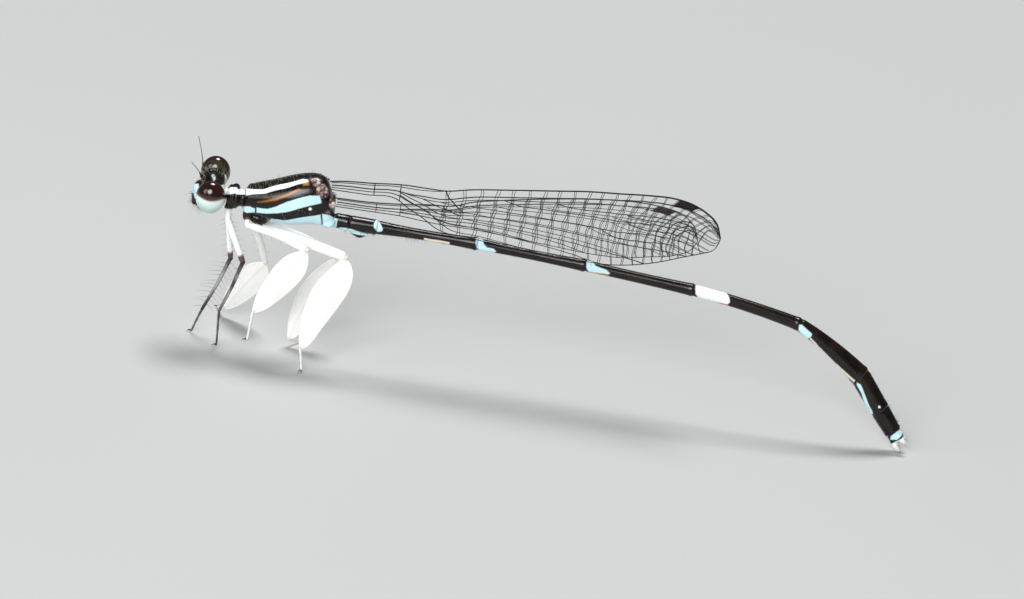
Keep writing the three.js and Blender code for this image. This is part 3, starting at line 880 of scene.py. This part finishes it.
CHITIN = skin_look()
HINGE = hinge_look()
EYE_LOOK = eye_look()
WHITE_LEG = leg_look()
DARK_LEG = shin_look()
MEMBRANE = membrane_look()
VEIN = plain_look("wing_vein", (0.014, 0.01, 0.008), (0.006, 0.005, 0.004), 0.5, 0.2,
                  Specular_IOR_Level=0.2)
STIGMA = plain_look("wing_stigma", (0.014, 0.009, 0.007), (0.006, 0.005, 0.004), 0.5, 0.15,
                    Specular_IOR_Level=0.15)
ANTENNA = plain_look("antenna", (0.02, 0.014, 0.012), (0.008, 0.006, 0.006), 0.35, 0.1)
CLAW = plain_look("claw", (0.05, 0.026, 0.016), (0.015, 0.009, 0.007), 0.3, 0.08)
DARK_HAIR = plain_look("dark_bristle", (0.03, 0.02, 0.016), (0.012, 0.009, 0.008), 0.45, 0.2)
PALE_HAIR = plain_look("pale_hair", (0.75, 0.72, 0.62), (0.6, 0.56, 0.45), 0.5, 0.2)


# Head, body and tail under one skin

def sections(table, boxiness, rings=60):
    """A loft of the body's sections, smoothed between them."""
    table = np.array(table)
    places = np.linspace(table[0, 0], table[-1, 0], rings)
    height, half_height, half_width = (smooth_through(table[:, [0, k]])(places) for k in (1, 2, 3))
    centres = np.column_stack([places, np.zeros(rings), height])
    return loft(centres, np.outer(half_width, [0, 1, 0]), np.outer(half_height, [0, 0, 1]), 40, boxiness)


def abdomen_path():
    """Points along the abdomen's middle, with its half height at each."""
    centres, halves = [], []
    for index, (start, end) in enumerate(zip(ABDOMEN_JOINTS, ABDOMEN_JOINTS[1:])):
        length = math.dist(start, end)
        count = max(8, int(length / ABDOMEN_STEP))
        for step in range(count):
            share = step / count
            sag = ABDOMEN_SAG.get(index, 0.0) * 4 * share * (1 - share)
            half = blend_three(*ABDOMEN_HALF_HEIGHTS[index], share)
            from_start, from_end = share * length, (1 - share) * length
            half += SWELLING * math.exp(-((from_end - SWELLING_TO_JOINT) / SWELLING_WIDTH) ** 2)
            half -= PINCH * math.exp(-(min(from_start, from_end) / PINCH_WIDTH) ** 2)
            centres.append((
                start[0] + (end[0] - start[0]) * share, 0.0,
                start[1] + (end[1] - start[1]) * share + sag,
            ))
            halves.append(half)
    centres.append((end[0], 0.0, end[1]))
    halves.append(ABDOMEN_HALF_HEIGHTS[-1][2])
    return np.array(centres), np.array(halves)


def abdomen_form():
    centres, halves = abdomen_path()
    across = np.tile([0.0, 1.0, 0.0], (len(centres), 1))
    upright = np.cross(unit(np.gradient(centres, axis=0)), across) * -1
    return loft(centres, across * halves[:, None] * ABDOMEN_WIDTH_SHARE, upright * halves[:, None], 32)


def body_forms():
    shape = Shape()
    both = SIDES.values()
    head = lumps(HEAD_LUMPS) + lumps(SMALL_EYES, (1,), 16, 10) + lumps(HEAD_SIDE_LUMPS, both, 16, 10)
    forms = [(from_head(points), faces) for points, faces in head]
    for table, boxiness in ((NECK, 1.0), (PROTHORAX, 0.92), (SYNTHORAX, 0.86)):
        forms.append(sections(table, boxiness))
    forms += lumps(PROTHORAX_LUMPS, both, 16, 10)
    forms += lumps(THORAX_LUMPS + WING_HINGES, both, 20, 12)
    forms += [abdomen_form()] + lumps(ABDOMEN_LUMPS)
    for sign in both:
        for bends, radii in APPENDAGES:
            path = smooth_path(np.array(bends) * (1, sign, 1), 10)
            forms.append(tube(path, np.linspace(*radii, 10), 14, up=(0, 1, 0)))
    for form in forms:
        shape.add(form)
    return shape


def skin_marks(points, normals):
    """The markings of the skin at its points."""
    x, y, z = points.T
    is_head = x < HEAD_ENDS
    on_body = ~is_head
    left = points * np.where(points[:, 1:2] > 0, (1, -1, 1), (1, 1, 1))
    left_of_head = to_head(points)
    left_of_head[:, 1] = -np.abs(left_of_head[:, 1])
    pixels = photo_pixel(np.where(is_head[:, None], from_head(left_of_head), left))
    # The marks' edges waver a little
    pixels += 0.2 * np.sin(pixels[:, ::-1] * (0.33, 0.27) + (1.0, 2.2)) + 0.1 * np.sin(pixels * (1.1, 0.83))
    white = any_inside(pixels, WHITE_MARKS) * on_body
    cyan = any_inside(pixels, CYAN_MARKS) * on_body
    cream = any_inside(pixels, CREAM_MARKS) * on_body
    amber = any_inside(pixels, AMBER_MARKS, 2.6) * on_body
    under_thorax = between(x, *THORAX_BELLY) & (normals[:, 2] < -0.6)
    cyan = np.maximum(cyan, under_thorax * smoothstep(-normals[:, 2], 0.6, 0.8))
    cyan = np.maximum(cyan, any_inside(pixels, HEAD_CYAN_MARKS) * is_head)
    cream = np.maximum(cream, any_inside(pixels, HEAD_CREAM_MARKS) * is_head)
    past_tail = 0.66 * (x - ABDOMEN_JOINTS[-1][0]) - 0.75 * (z - ABDOMEN_JOINTS[-1][1])
    white = np.maximum(white, smoothstep(past_tail, -0.14, -0.04) * (x > -1.2))
    front_coxa = between(x, *FRONT_COXAE) & (z < 8.25)
    white = np.maximum(white, front_coxa * smoothstep(-z, -8.22, -8.1))
    hinge = np.zeros(len(points))
    for centre, half, _ in WING_HINGES:
        reach = max(half) * 1.25
        away = np.linalg.norm((np.column_stack([x, np.abs(y), z]) - centre), axis=1)
        hinge = np.maximum(hinge, smoothstep(-away, -reach, -reach * 0.75))
    hinge *= 1 - np.clip(white + cyan, 0, 1)
    groove = np.zeros(len(points))
    for joint_x in [joint[0] for joint in ABDOMEN_JOINTS[1:] if joint[0] < LAST_GROOVE]:
        groove -= np.exp(-((x - joint_x) / GROOVE_WIDTH) ** 2)
    crest = between(x, *THORAX_CREST) & (normals[:, 2] > 0.3)
    groove += crest * np.exp(-(y / GROOVE_WIDTH) ** 2)
    return {"white": white, "cyan": cyan, "cream": cream, "amber": amber, "hinge": hinge, "groove": groove}


skin_points, skin_faces, skin_normals = joined_skin(body_forms(), SKIN_VOXEL, SKIN_SOFTENINGS)
make_piece(
    "body_skin",
    (skin_points, skin_faces, skin_marks(skin_points, skin_normals)),
    CHITIN,
    ["head", "prothorax", "thorax"] + [f"abdomen_{number}" for number in range(1, 11)],
)


# The hard beads at the wings' roots

def make_hinge_beads():
    shape = Shape()
    for sign in SIDES.values():
        for centre, half, count in WING_HINGES:
            middle = np.array(centre) * (1, sign, 1)
            for _ in range(count):
                way = unit([rng.uniform(-1, 1), sign * rng.uniform(0.1, 1.0), rng.uniform(-0.8, 1)])
                size = rng.uniform(0.035, 0.1)
                bead = ellipsoid(middle + way * np.array(half) * 0.98, (size * 1.4, size, size * 1.1), 14, 9)
                shape.add(bead, shade=rng.random() ** 1.4)
    make_piece("wing_hinge_beads", shape.gather(), HINGE)


make_hinge_beads()


# Eyes and antennae

def make_eye(side, sign):
    points, faces = ellipsoid((0, sign * EYE_OFFSET, 0), EYE, 96, 64)
    left_side = points.copy()
    left_side[:, 1] = -np.abs(left_side[:, 1])
    pixels = photo_pixel(from_head(left_side))
    edge = smooth_through(EYE_CAP_EDGE)(pixels[:, 0])
    below = pixels[:, 1] - edge
    marks = {
        "pale": smoothstep(below, -1.1, 1.1),
        "rim": smoothstep(below, -3.5, -0.3),
        "belly": smoothstep(below, 2.0, 12.0),
        # Painted sheen: 1 on the inner side of each eye, towards the head's middle
        "painted_crown_sheen": smoothstep(-np.abs(left_side[:, 1]), -EYE_OFFSET, 0.45 - EYE_OFFSET),
    }
    make_piece(f"eye_{side}_globe", (from_head(points), faces, marks), EYE_LOOK, [f"eye_{side}"])


def make_antenna(side, sign):
    root = np.array(ANTENNA_ROOT) * (1, sign, 1)
    along = np.linspace(0, 1, 40)
    path = smooth_path([root, *ANTENNA_BENDS[side]], len(along))
    radii = ANTENNA_RADIUS * (1 + (1 - along) ** 2)
    radii += 0.05 * smoothstep(0.1 - along, 0, 0.03) + 0.022 * smoothstep(0.24 - along, 0, 0.03)
    shape = Shape()
    points, faces = tube(path, radii, 10, up=(1, 0, 0))
    shape.add((from_head(points), faces))
    make_piece(f"antenna_{side}_feeler", shape.gather(), ANTENNA, [f"antenna_{side}"])


for side, sign in SIDES.items():
    make_eye(side, sign)
    make_antenna(side, sign)


# Wings

def wing_surface(kind, sign):
    """A function that gives points of a wing: distance along, share across and how far out."""
    wing = WINGS[kind]
    leading = smooth_through(wing["leading"])
    trailing = smooth_through(wing["trailing"])
    slope = WING_SLOPE - sign * wing["lift"]
    root_x, root_z = wing["root"]
    root_y, blade_y = wing["y"]

    def at(distance, share, outward=0.0):
        distance = np.asarray(distance, float)
        top, bottom = leading(distance), trailing(distance)
        past = np.clip(1 + (distance - wing["end"]) / WING_TIP_ROUNDING, 0, 0.998)
        half = (top - bottom) / 2 * np.sqrt(1 - past ** 2)
        height = (top + bottom) / 2 + half * (2 * np.asarray(share, float) - 1)
        settled = smoothstep(distance, *WING_SETTLES)
        pleat = 0.03 * np.sin(np.asarray(share) * 30) * settled
        middle = sign * (root_y + (blade_y - root_y) * settled + pleat + outward)
        return np.column_stack(np.broadcast_arrays(
            root_x + distance * math.cos(slope) - height * math.sin(slope),
            middle,
            root_z + distance * math.sin(slope) + height * math.cos(slope) - middle * WING_LEAN,
        ))

    return at


def crossvein_places(wing, sign):
    places = [share * wing["end"] for share in BASAL_CROSSVEINS]
    place = wing["first_crossvein"] - 0.3 + 0.07 * sign
    while place < wing["end"] + 0.9:
        places.append(place)
        place += CROSSVEIN_GAP - 0.45 * (place / wing["end"]) ** 2
    return places


def make_wing(kind, side, sign):
    wing = WINGS[kind]
    at = wing_surface(kind, sign)
    start, end = wing["start"], wing["end"]
    name = f"{kind}_{side}"

    def place(along, across, layer):
        distance = start + (end - start) * (1 - (1 - along) ** 1.7)
        return at(distance, across, layer * MEMBRANE_HALF_THICKNESS)

    sheet = Shape()
    sheet.add(plate(110, 24, place))
    make_piece(f"{name}_membrane", sheet.gather(), MEMBRANE, [name])

    veins = Shape()
    distances = start + (end - start) * (1 - (1 - np.linspace(0, 1, 160)) ** 1.9)
    for share, radius in ((1.0, EDGE_VEIN_RADIUS), (0.0, VEIN_RADIUS)):
        taper = np.interp(distances, [start, 0.3 * end, end], [1.1, 1.0, 0.9])
        veins.add(tube(at(distances, np.full(160, share)), radius * taper, 6, up=(0, 1, 0)))
    for vein, table in LONG_VEINS.items():
        share_at = smooth_through(table)
        first, last = table[0][0], table[-1][0]
        count = int(12 + 80 * (last - first))
        along = np.linspace(first, last, count)
        wobble = 0.004 * np.sin(along * 160) * smoothstep(along, 0.5, 0.9)
        taper = np.interp(along, [0, 0.3, 0.5, 1], [1.0, 1.0, 0.85, 0.6])
        shares = np.clip(share_at(along) + wobble, 0, 1)
        radius = STRONG_VEIN_RADIUS if vein in STRONG_VEINS else VEIN_RADIUS
        veins.add(tube(at(along * end, shares), radius * taper, 6, up=(0, 1, 0)))
    for distance in crossvein_places(wing, sign):
        shares = np.linspace(1, 0, 16)
        tipward = (distance / end) ** 4
        lean = -(0.15 + 1.5 * tipward) * (1 - shares) - 0.7 * tipward * np.sin(shares * math.pi)
        wobble = 0.05 * np.sin(shares * 17 + distance * 5)
        spots = np.clip(distance + (lean + wobble) * (distance > 5), start, end - 0.12)
        veins.add(tube(at(spots, shares), CROSSVEIN_RADIUS, 5, up=(0, 1, 0)))
    make_piece(f"{name}_veins", veins.gather(), VEIN)

    low, high = wing["stigma"]

    def stigma_place(along, across, layer):
        distance = low + (high - low) * along + STIGMA_SLANT * (across - 0.5)
        return at(distance, STIGMA_LOW + STIGMA_HEIGHT * across, layer * STIGMA_HALF_THICKNESS)

    stigma = Shape()
    stigma.add(plate(10, 5, stigma_place))
    make_piece(f"{name}_stigma", stigma.gather(), STIGMA)


for side, sign in SIDES.items():
    for kind in WINGS:
        make_wing(kind, side, sign)


# Legs

def leaf_blade(pair, knee, ankle):
    """A leaf-shaped shin with a midrib and a thin rim, and its marks."""
    axis = ankle - knee
    length = np.linalg.norm(axis)
    axis = axis / length
    outward = unit(np.array([0.0, -1.0, 0.0]) + axis * axis[1])
    forward = np.cross(outward, axis)
    fore = smooth_through(LEAF_FORE[pair])
    aft = smooth_through(LEAF_AFT[pair])
    marks = {"rim": [], "rib": [], "warm": []}

    def place(along, across, layer):
        share = 0.02 + 0.975 * (along - 0.05 * np.sin(2 * math.pi * along))
        offset = -aft(share) + (fore(share) + aft(share)) * across
        half = np.where(offset > 0, fore(share), aft(share))
        outness = np.abs(offset) / half
        thickness = LEAF_HALF_THICKNESS - LEAF_THINNING * outness
        thickness = thickness + LEAF_RIM * np.exp(-((outness - 0.94) / 0.05) ** 2)
        rib_line = offset + LEAF_RIB_BOW[pair] * np.sin(math.pi * share)
        thickness = thickness + LEAF_RIB * np.exp(-(rib_line / 0.06) ** 2) * (1 - 0.6 * share)
        cup = LEAF_CUP * (outness ** 2) * np.sin(math.pi * np.clip(share, 0, 1))
        marks["rim"].append(smoothstep(outness, 0.86, 0.95))
        marks["rib"].append(0.3 * np.exp(-(rib_line / 0.03) ** 2) * smoothstep(share, 0.04, 0.2))
        marks["warm"].append(0.6 * smoothstep(-share, -0.05, 0.0) + 0.4 * smoothstep(share, 0.96, 1.0))
        return (
            knee + np.outer(share * length, axis)
            + np.outer(offset, forward)
            + np.outer(layer * thickness - cup, outward)
        )

    form = plate(70, 36, place)
    return form, {name: np.concatenate(values) for name, values in marks.items()}


def tarsus_forms(shape, claws, ankle, toe, radius, **marks):
    """Three tarsal joints and a pair of claws."""
    path = smooth_path([ankle, (ankle + toe) / 2 + (0.0, 0.0, 0.04), toe], 34)
    along = np.linspace(0, 1, 34)
    beads = 0.75 + 0.25 * np.abs(np.sin(math.pi * (0.1 + along * 2.9)))
    taper = np.interp(along, [0, 1], [1.0, 0.75])
    shape.add(tube(path, radius * beads * taper, 10, up=(1, 0.2, 0)), **marks)
    heading = unit(toe - path[-6])
    flat = np.array([heading[0], heading[1], 0.0]) + (-0.25, 0.0, 0.0)
    ahead = unit(flat if np.linalg.norm(flat) > 0.1 else (-1.0, 0.0, 0.0))
    sideways = np.cross(ahead, (0, 0, 1))
    for sign in (-1.0, 1.0):
        hook = smooth_path([
            toe,
            toe + ahead * 0.12 + sideways * 0.07 * sign + (0, 0, 0.05),
            toe + ahead * 0.26 + sideways * 0.1 * sign + (0, 0, -0.045),
        ], 10)
        claws.add(tube(hook, np.linspace(0.035, 0.01, 10), 8))


def at_rings(shares, sides):
    """A share for each point of a tube, from that of each ring. Its ends' middles come last."""
    return np.concatenate([np.repeat(shares, sides), [0, 1]])


def make_leg(name, bends, claws):
    pair, side = name.split("_")
    coxa, trochanter, knee, ankle, toe = (np.array(bend) for bend in bends)
    thigh = knee - trochanter
    bowed = trochanter + 0.5 * thigh + (0, 0, FEMUR_BOW[pair])
    path = smooth_path([coxa, trochanter, trochanter + 0.08 * thigh, bowed, knee], FEMUR_RINGS)
    along = np.linspace(0, 1, FEMUR_RINGS)
    depth = blend_three(*FEMUR_DEPTH[pair], along)
    depth = depth * np.where(along > 0.96, np.sqrt(np.clip(1 - ((along - 0.96) / 0.045) ** 2, 0.05, 1)), 1)
    depth = depth * (1 - 0.2 * np.exp(-((along - 0.16) / 0.03) ** 2))
    form = tube(path, depth, FEMUR_SIDES, flatness=FEMUR_WIDTH[pair] / FEMUR_DEPTH[pair][1])
    shares = at_rings(along, FEMUR_SIDES)
    leg = Shape()
    replaced = [f"{section}_{name}" for section in ("femur", "tibia", "tarsus")]
    if pair != "front":
        leg.add(
            form,
            dark=smoothstep(-shares, -0.075, -0.05),
            warm=0.6 * smoothstep(shares, 0.965, 0.995),
        )
        blade, marks = leaf_blade(pair, knee, ankle)
        leg.add(blade, **marks)
        leg.add(ellipsoid(knee, (0.12, 0.11, 0.13), 16, 10), warm=0.5)
        tarsus_forms(leg, claws, ankle, toe, TARSUS_RADIUS[pair], warm=0.15)
        make_piece(f"leg_{name}", leg.gather(), WHITE_LEG, replaced)
        return
    leg.add(form, dark=smoothstep(shares, 0.83, 0.9), warm=0.0)
    make_piece(f"leg_{name}_femur", leg.gather(), WHITE_LEG, replaced[:1])
    shin = Shape()
    path = smooth_path([knee, (knee + ankle) / 2 + (0.05, 0, 0), ankle], SHIN_RINGS)
    shares = at_rings(np.linspace(0, 1, SHIN_RINGS), SHIN_SIDES)
    dark = smoothstep(-shares, -0.14, 0)
    if side == "right":
        dark = dark + smoothstep(shares, 0.6, 0.95)
    radii = np.linspace(*SHIN_RADII, SHIN_RINGS)
    shin.add(tube(path, radii, SHIN_SIDES, up=(1, 0, 0)), dark=np.clip(dark, 0, 1))
    shin.add(ellipsoid(knee, (0.14, 0.13, 0.16), 16, 10), dark=1.0)
    tarsus_forms(shin, claws, ankle, toe, TARSUS_RADIUS[pair], dark=0.7)
    make_piece(f"leg_{name}_shin", shin.gather(), DARK_LEG, replaced[1:])


claw_shape = Shape()
for leg_name, leg_bends in LEG_POINTS.items():
    make_leg(leg_name, leg_bends, claw_shape)
make_piece("claws", claw_shape.gather(), CLAW)


# Hairs

def add_hair(shape, root, direction, length, radius, bend):
    """A thin, bent, tapering hair. Its patch of the UV sheet lies along the body and round it."""
    steps = np.linspace(0, 1, 5)
    path = root + np.outer(steps * length, unit(direction)) + np.outer(steps ** 2 * length, bend)
    form = tube(path, radius * (1.05 - steps), 3, up=(0.3, 0.9, 0.2))
    along = np.clip((root[0] + 42) / 43, 0, 1) * 0.99
    around = (math.atan2(root[2] - 7, root[1]) / (2 * math.pi) + 0.5) * 0.99
    number = np.arange(len(form[0]))
    shape.add(
        form,
        patch_u=along + 0.003 * np.clip(number // 3 / 5, 0, 1),
        patch_v=around + 0.003 * (number % 3) / 2,
    )


def make_hairs(name, shape, material):
    points, faces, marks = shape.gather()
    patches = np.column_stack([marks.pop("patch_u"), marks.pop("patch_v")])
    piece = make_piece(name, (points, faces, marks), material)
    layer = piece.data.uv_layers.new(name="OFBake")
    corners = np.empty(len(piece.data.loops), int)
    piece.data.loops.foreach_get("vertex_index", corners)
    layer.data.foreach_set("uv", patches[corners].ravel())


def hairs_on_skin(shape, wanted, count, length, radius, lean):
    """Hairs at random points of the wanted part of the skin."""
    chosen = np.flatnonzero(wanted)
    for _ in range(count):
        index = chosen[rng.randrange(len(chosen))]
        way = skin_normals[index] + np.array(lean) + np.array([rng.uniform(-0.25, 0.25) for _ in range(3)])
        add_hair(shape, skin_points[index], way, length * rng.uniform(0.6, 1.15), radius,
                 (rng.uniform(-0.1, 0.15), 0, rng.uniform(-0.15, 0.1)))


def hairs_on_leg(shape, start, end, radius, count, length, thickness, spread):
    """Hairs in rows along a stretch of leg, leaning towards its foot."""
    start, end = np.array(start, float), np.array(end, float)
    along = unit(end - start)
    for number in range(count):
        share = 0.06 + 0.9 * (number + rng.uniform(-0.3, 0.3)) / count
        angle = spread[number % len(spread)] + rng.uniform(-0.35, 0.35)
        side = math.cos(angle) * unit(np.cross(along, (0, 1, 0))) + math.sin(angle) * np.array([0, -1, 0])
        root = start + (end - start) * share + side * radius
        way = side + along * rng.uniform(0.15, 0.5)
        reach = length * rng.uniform(0.7, 1.1)
        add_hair(shape, root, way, reach, thickness, along * rng.uniform(0.05, 0.3))


pale = Shape()
dark = Shape()
skin_x, skin_y, skin_z = skin_points.T
on_thorax = between(skin_x, *HAIRY_THORAX)
faces_up = skin_normals[:, 2] > 0.3
in_middle = np.abs(skin_y) < 0.8
under_abdomen = between(skin_x, *BRISTLY_BELLY) & (skin_normals[:, 2] < -0.3)
# Each row's shape, where it grows, how many hairs, their length and radius, and which way they lean
for row in (
    (pale, on_thorax & faces_up, 170, 0.36, 0.0055, (-0.2, 0, 0.5)),
    (pale, on_thorax & ~faces_up, 130, 0.2, 0.005, (0, 0, -0.2)),
    (pale, (skin_x < -40.55) & in_middle, 150, 0.4, 0.0055, (-0.5, 0, 0.1)),
    (pale, (skin_x < -39.3) & in_middle & (skin_z > 9.6), 40, 0.3, 0.0055, (0, 0, 0.3)),
    (dark, (skin_x < -40.3) & (skin_z < 8.6), 60, 0.32, 0.011, (-0.3, 0, -0.6)),
    (dark, between(skin_x, *HAIRY_ABDOMEN), 420, 0.13, 0.007, (0.7, 0, 0)),
    (dark, under_abdomen, 50, 0.3, 0.009, (0.3, 0, -0.2)),
    (dark, skin_x > -1.4, 90, 0.22, 0.008, (0.8, 0, 0)),
):
    hairs_on_skin(*row)
for leg_name, (coxa, trochanter, knee, ankle, toe) in LEG_POINTS.items():
    pair = leg_name.split("_")[0]
    both_sides = (0.0, math.pi)
    if pair == "front":
        hairs_on_leg(dark, trochanter, knee, 0.13, 16, 0.4, 0.009, both_sides)
        count, length = (22, 0.85) if leg_name == "front_right" else (9, 0.3)
        hairs_on_leg(dark, knee, ankle, 0.08, count, length, 0.01, both_sides)
    else:
        hairs_on_leg(dark, trochanter, knee, 0.19, 12, 0.26, 0.007, both_sides)
        hairs_on_leg(pale, trochanter, knee, 0.19, 46, 0.22, 0.006, (0.0, math.pi, math.pi / 2))
    near_toe = 0.2 * np.array(ankle) + 0.8 * np.array(toe)
    hairs_on_leg(dark, ankle, near_toe, 0.06, 12, 0.12, 0.007, both_sides)
make_hairs("pale_hairs", pale, PALE_HAIR)
make_hairs("dark_hairs", dark, DARK_HAIR)


# Floor, light and camera

def add_floor():
    look = Look("floor")
    look.finish(Base_Color=look.mix(look.noise(60.0), *FLOOR_COLOURS), Roughness=0.8)
    mesh = bpy.data.meshes.new("floor")
    corners = [(-1, -1), (1, -1), (1, 1), (-1, 1)]
    mesh.from_pydata([(x * FLOOR_REACH, y * FLOOR_REACH, 0) for x, y in corners], [], [(0, 1, 2, 3)])
    mesh.materials.append(look.material)
    floor = new_object("floor", mesh)
    floor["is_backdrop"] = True


def add_light(name, azimuth, elevation, distance, size, watts, aim):
    lamp = bpy.data.lights.new(name, "AREA")
    lamp.shape = "DISK"
    lamp.size = size
    lamp.energy = watts
    light = new_object(name, lamp)
    azimuth, elevation = math.radians(azimuth), math.radians(elevation)
    level = math.cos(elevation)
    way = Vector((math.sin(azimuth) * level, -math.cos(azimuth) * level, math.sin(elevation)))
    light.location = aim + way * distance
    light.rotation_euler = (-way).to_track_quat("-Z", "Y").to_euler()


def add_camera():
    """A long lens that sees the body as the photograph does."""
    across = np.array([1.0, 0.0, 0.0])
    rise = np.array([0.0, math.sin(PHOTO_ELEVATION), math.cos(PHOTO_ELEVATION)])
    ahead = np.array([0.0, math.cos(PHOTO_ELEVATION), -math.sin(PHOTO_ELEVATION)])
    cos_roll, sin_roll = math.cos(PHOTO_ROLL), math.sin(PHOTO_ROLL)
    right = across * cos_roll + rise * sin_roll
    up = rise * cos_roll - across * sin_roll
    offset = (np.array(PHOTO_SIZE) / 2 - np.array(TAIL_PIXEL)) / PIXELS_PER_MM
    aim = np.array([0.0, 0.0, TAIL_HEIGHT]) + right * offset[0] - up * offset[1]
    depth = aim[1] / math.cos(PHOTO_ELEVATION)
    aim = aim - ahead * depth
    place = (aim - ahead * CAMERA_DISTANCE) * MM + ORIGIN
    data = bpy.data.cameras.new("camera")
    data.sensor_width = SENSOR
    data.lens = SENSOR * CAMERA_DISTANCE / (PHOTO_SIZE[0] / PIXELS_PER_MM)
    data.clip_start = 0.01
    data.clip_end = 20.0
    camera = new_object("camera", data)
    axes = Matrix((right, up, -ahead)).transposed()
    camera.matrix_world = Matrix.Translation(Vector(place)) @ axes.to_4x4()
    bpy.context.scene.camera = camera


def add_world():
    world = bpy.data.worlds.new("studio")
    world.use_nodes = True
    background = world.node_tree.nodes["Background"]
    background.inputs["Color"].default_value = SKY_COLOUR
    background.inputs["Strength"].default_value = SKY_STRENGTH
    bpy.context.scene.world = world
    bpy.context.scene.view_settings.view_transform = "Standard"


low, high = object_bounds()
middle = (Vector(low) + Vector(high)) / 2
add_floor()
for name, settings in LIGHTS.items():
    add_light(name, *settings, middle)
add_camera()
add_world()

low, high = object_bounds()
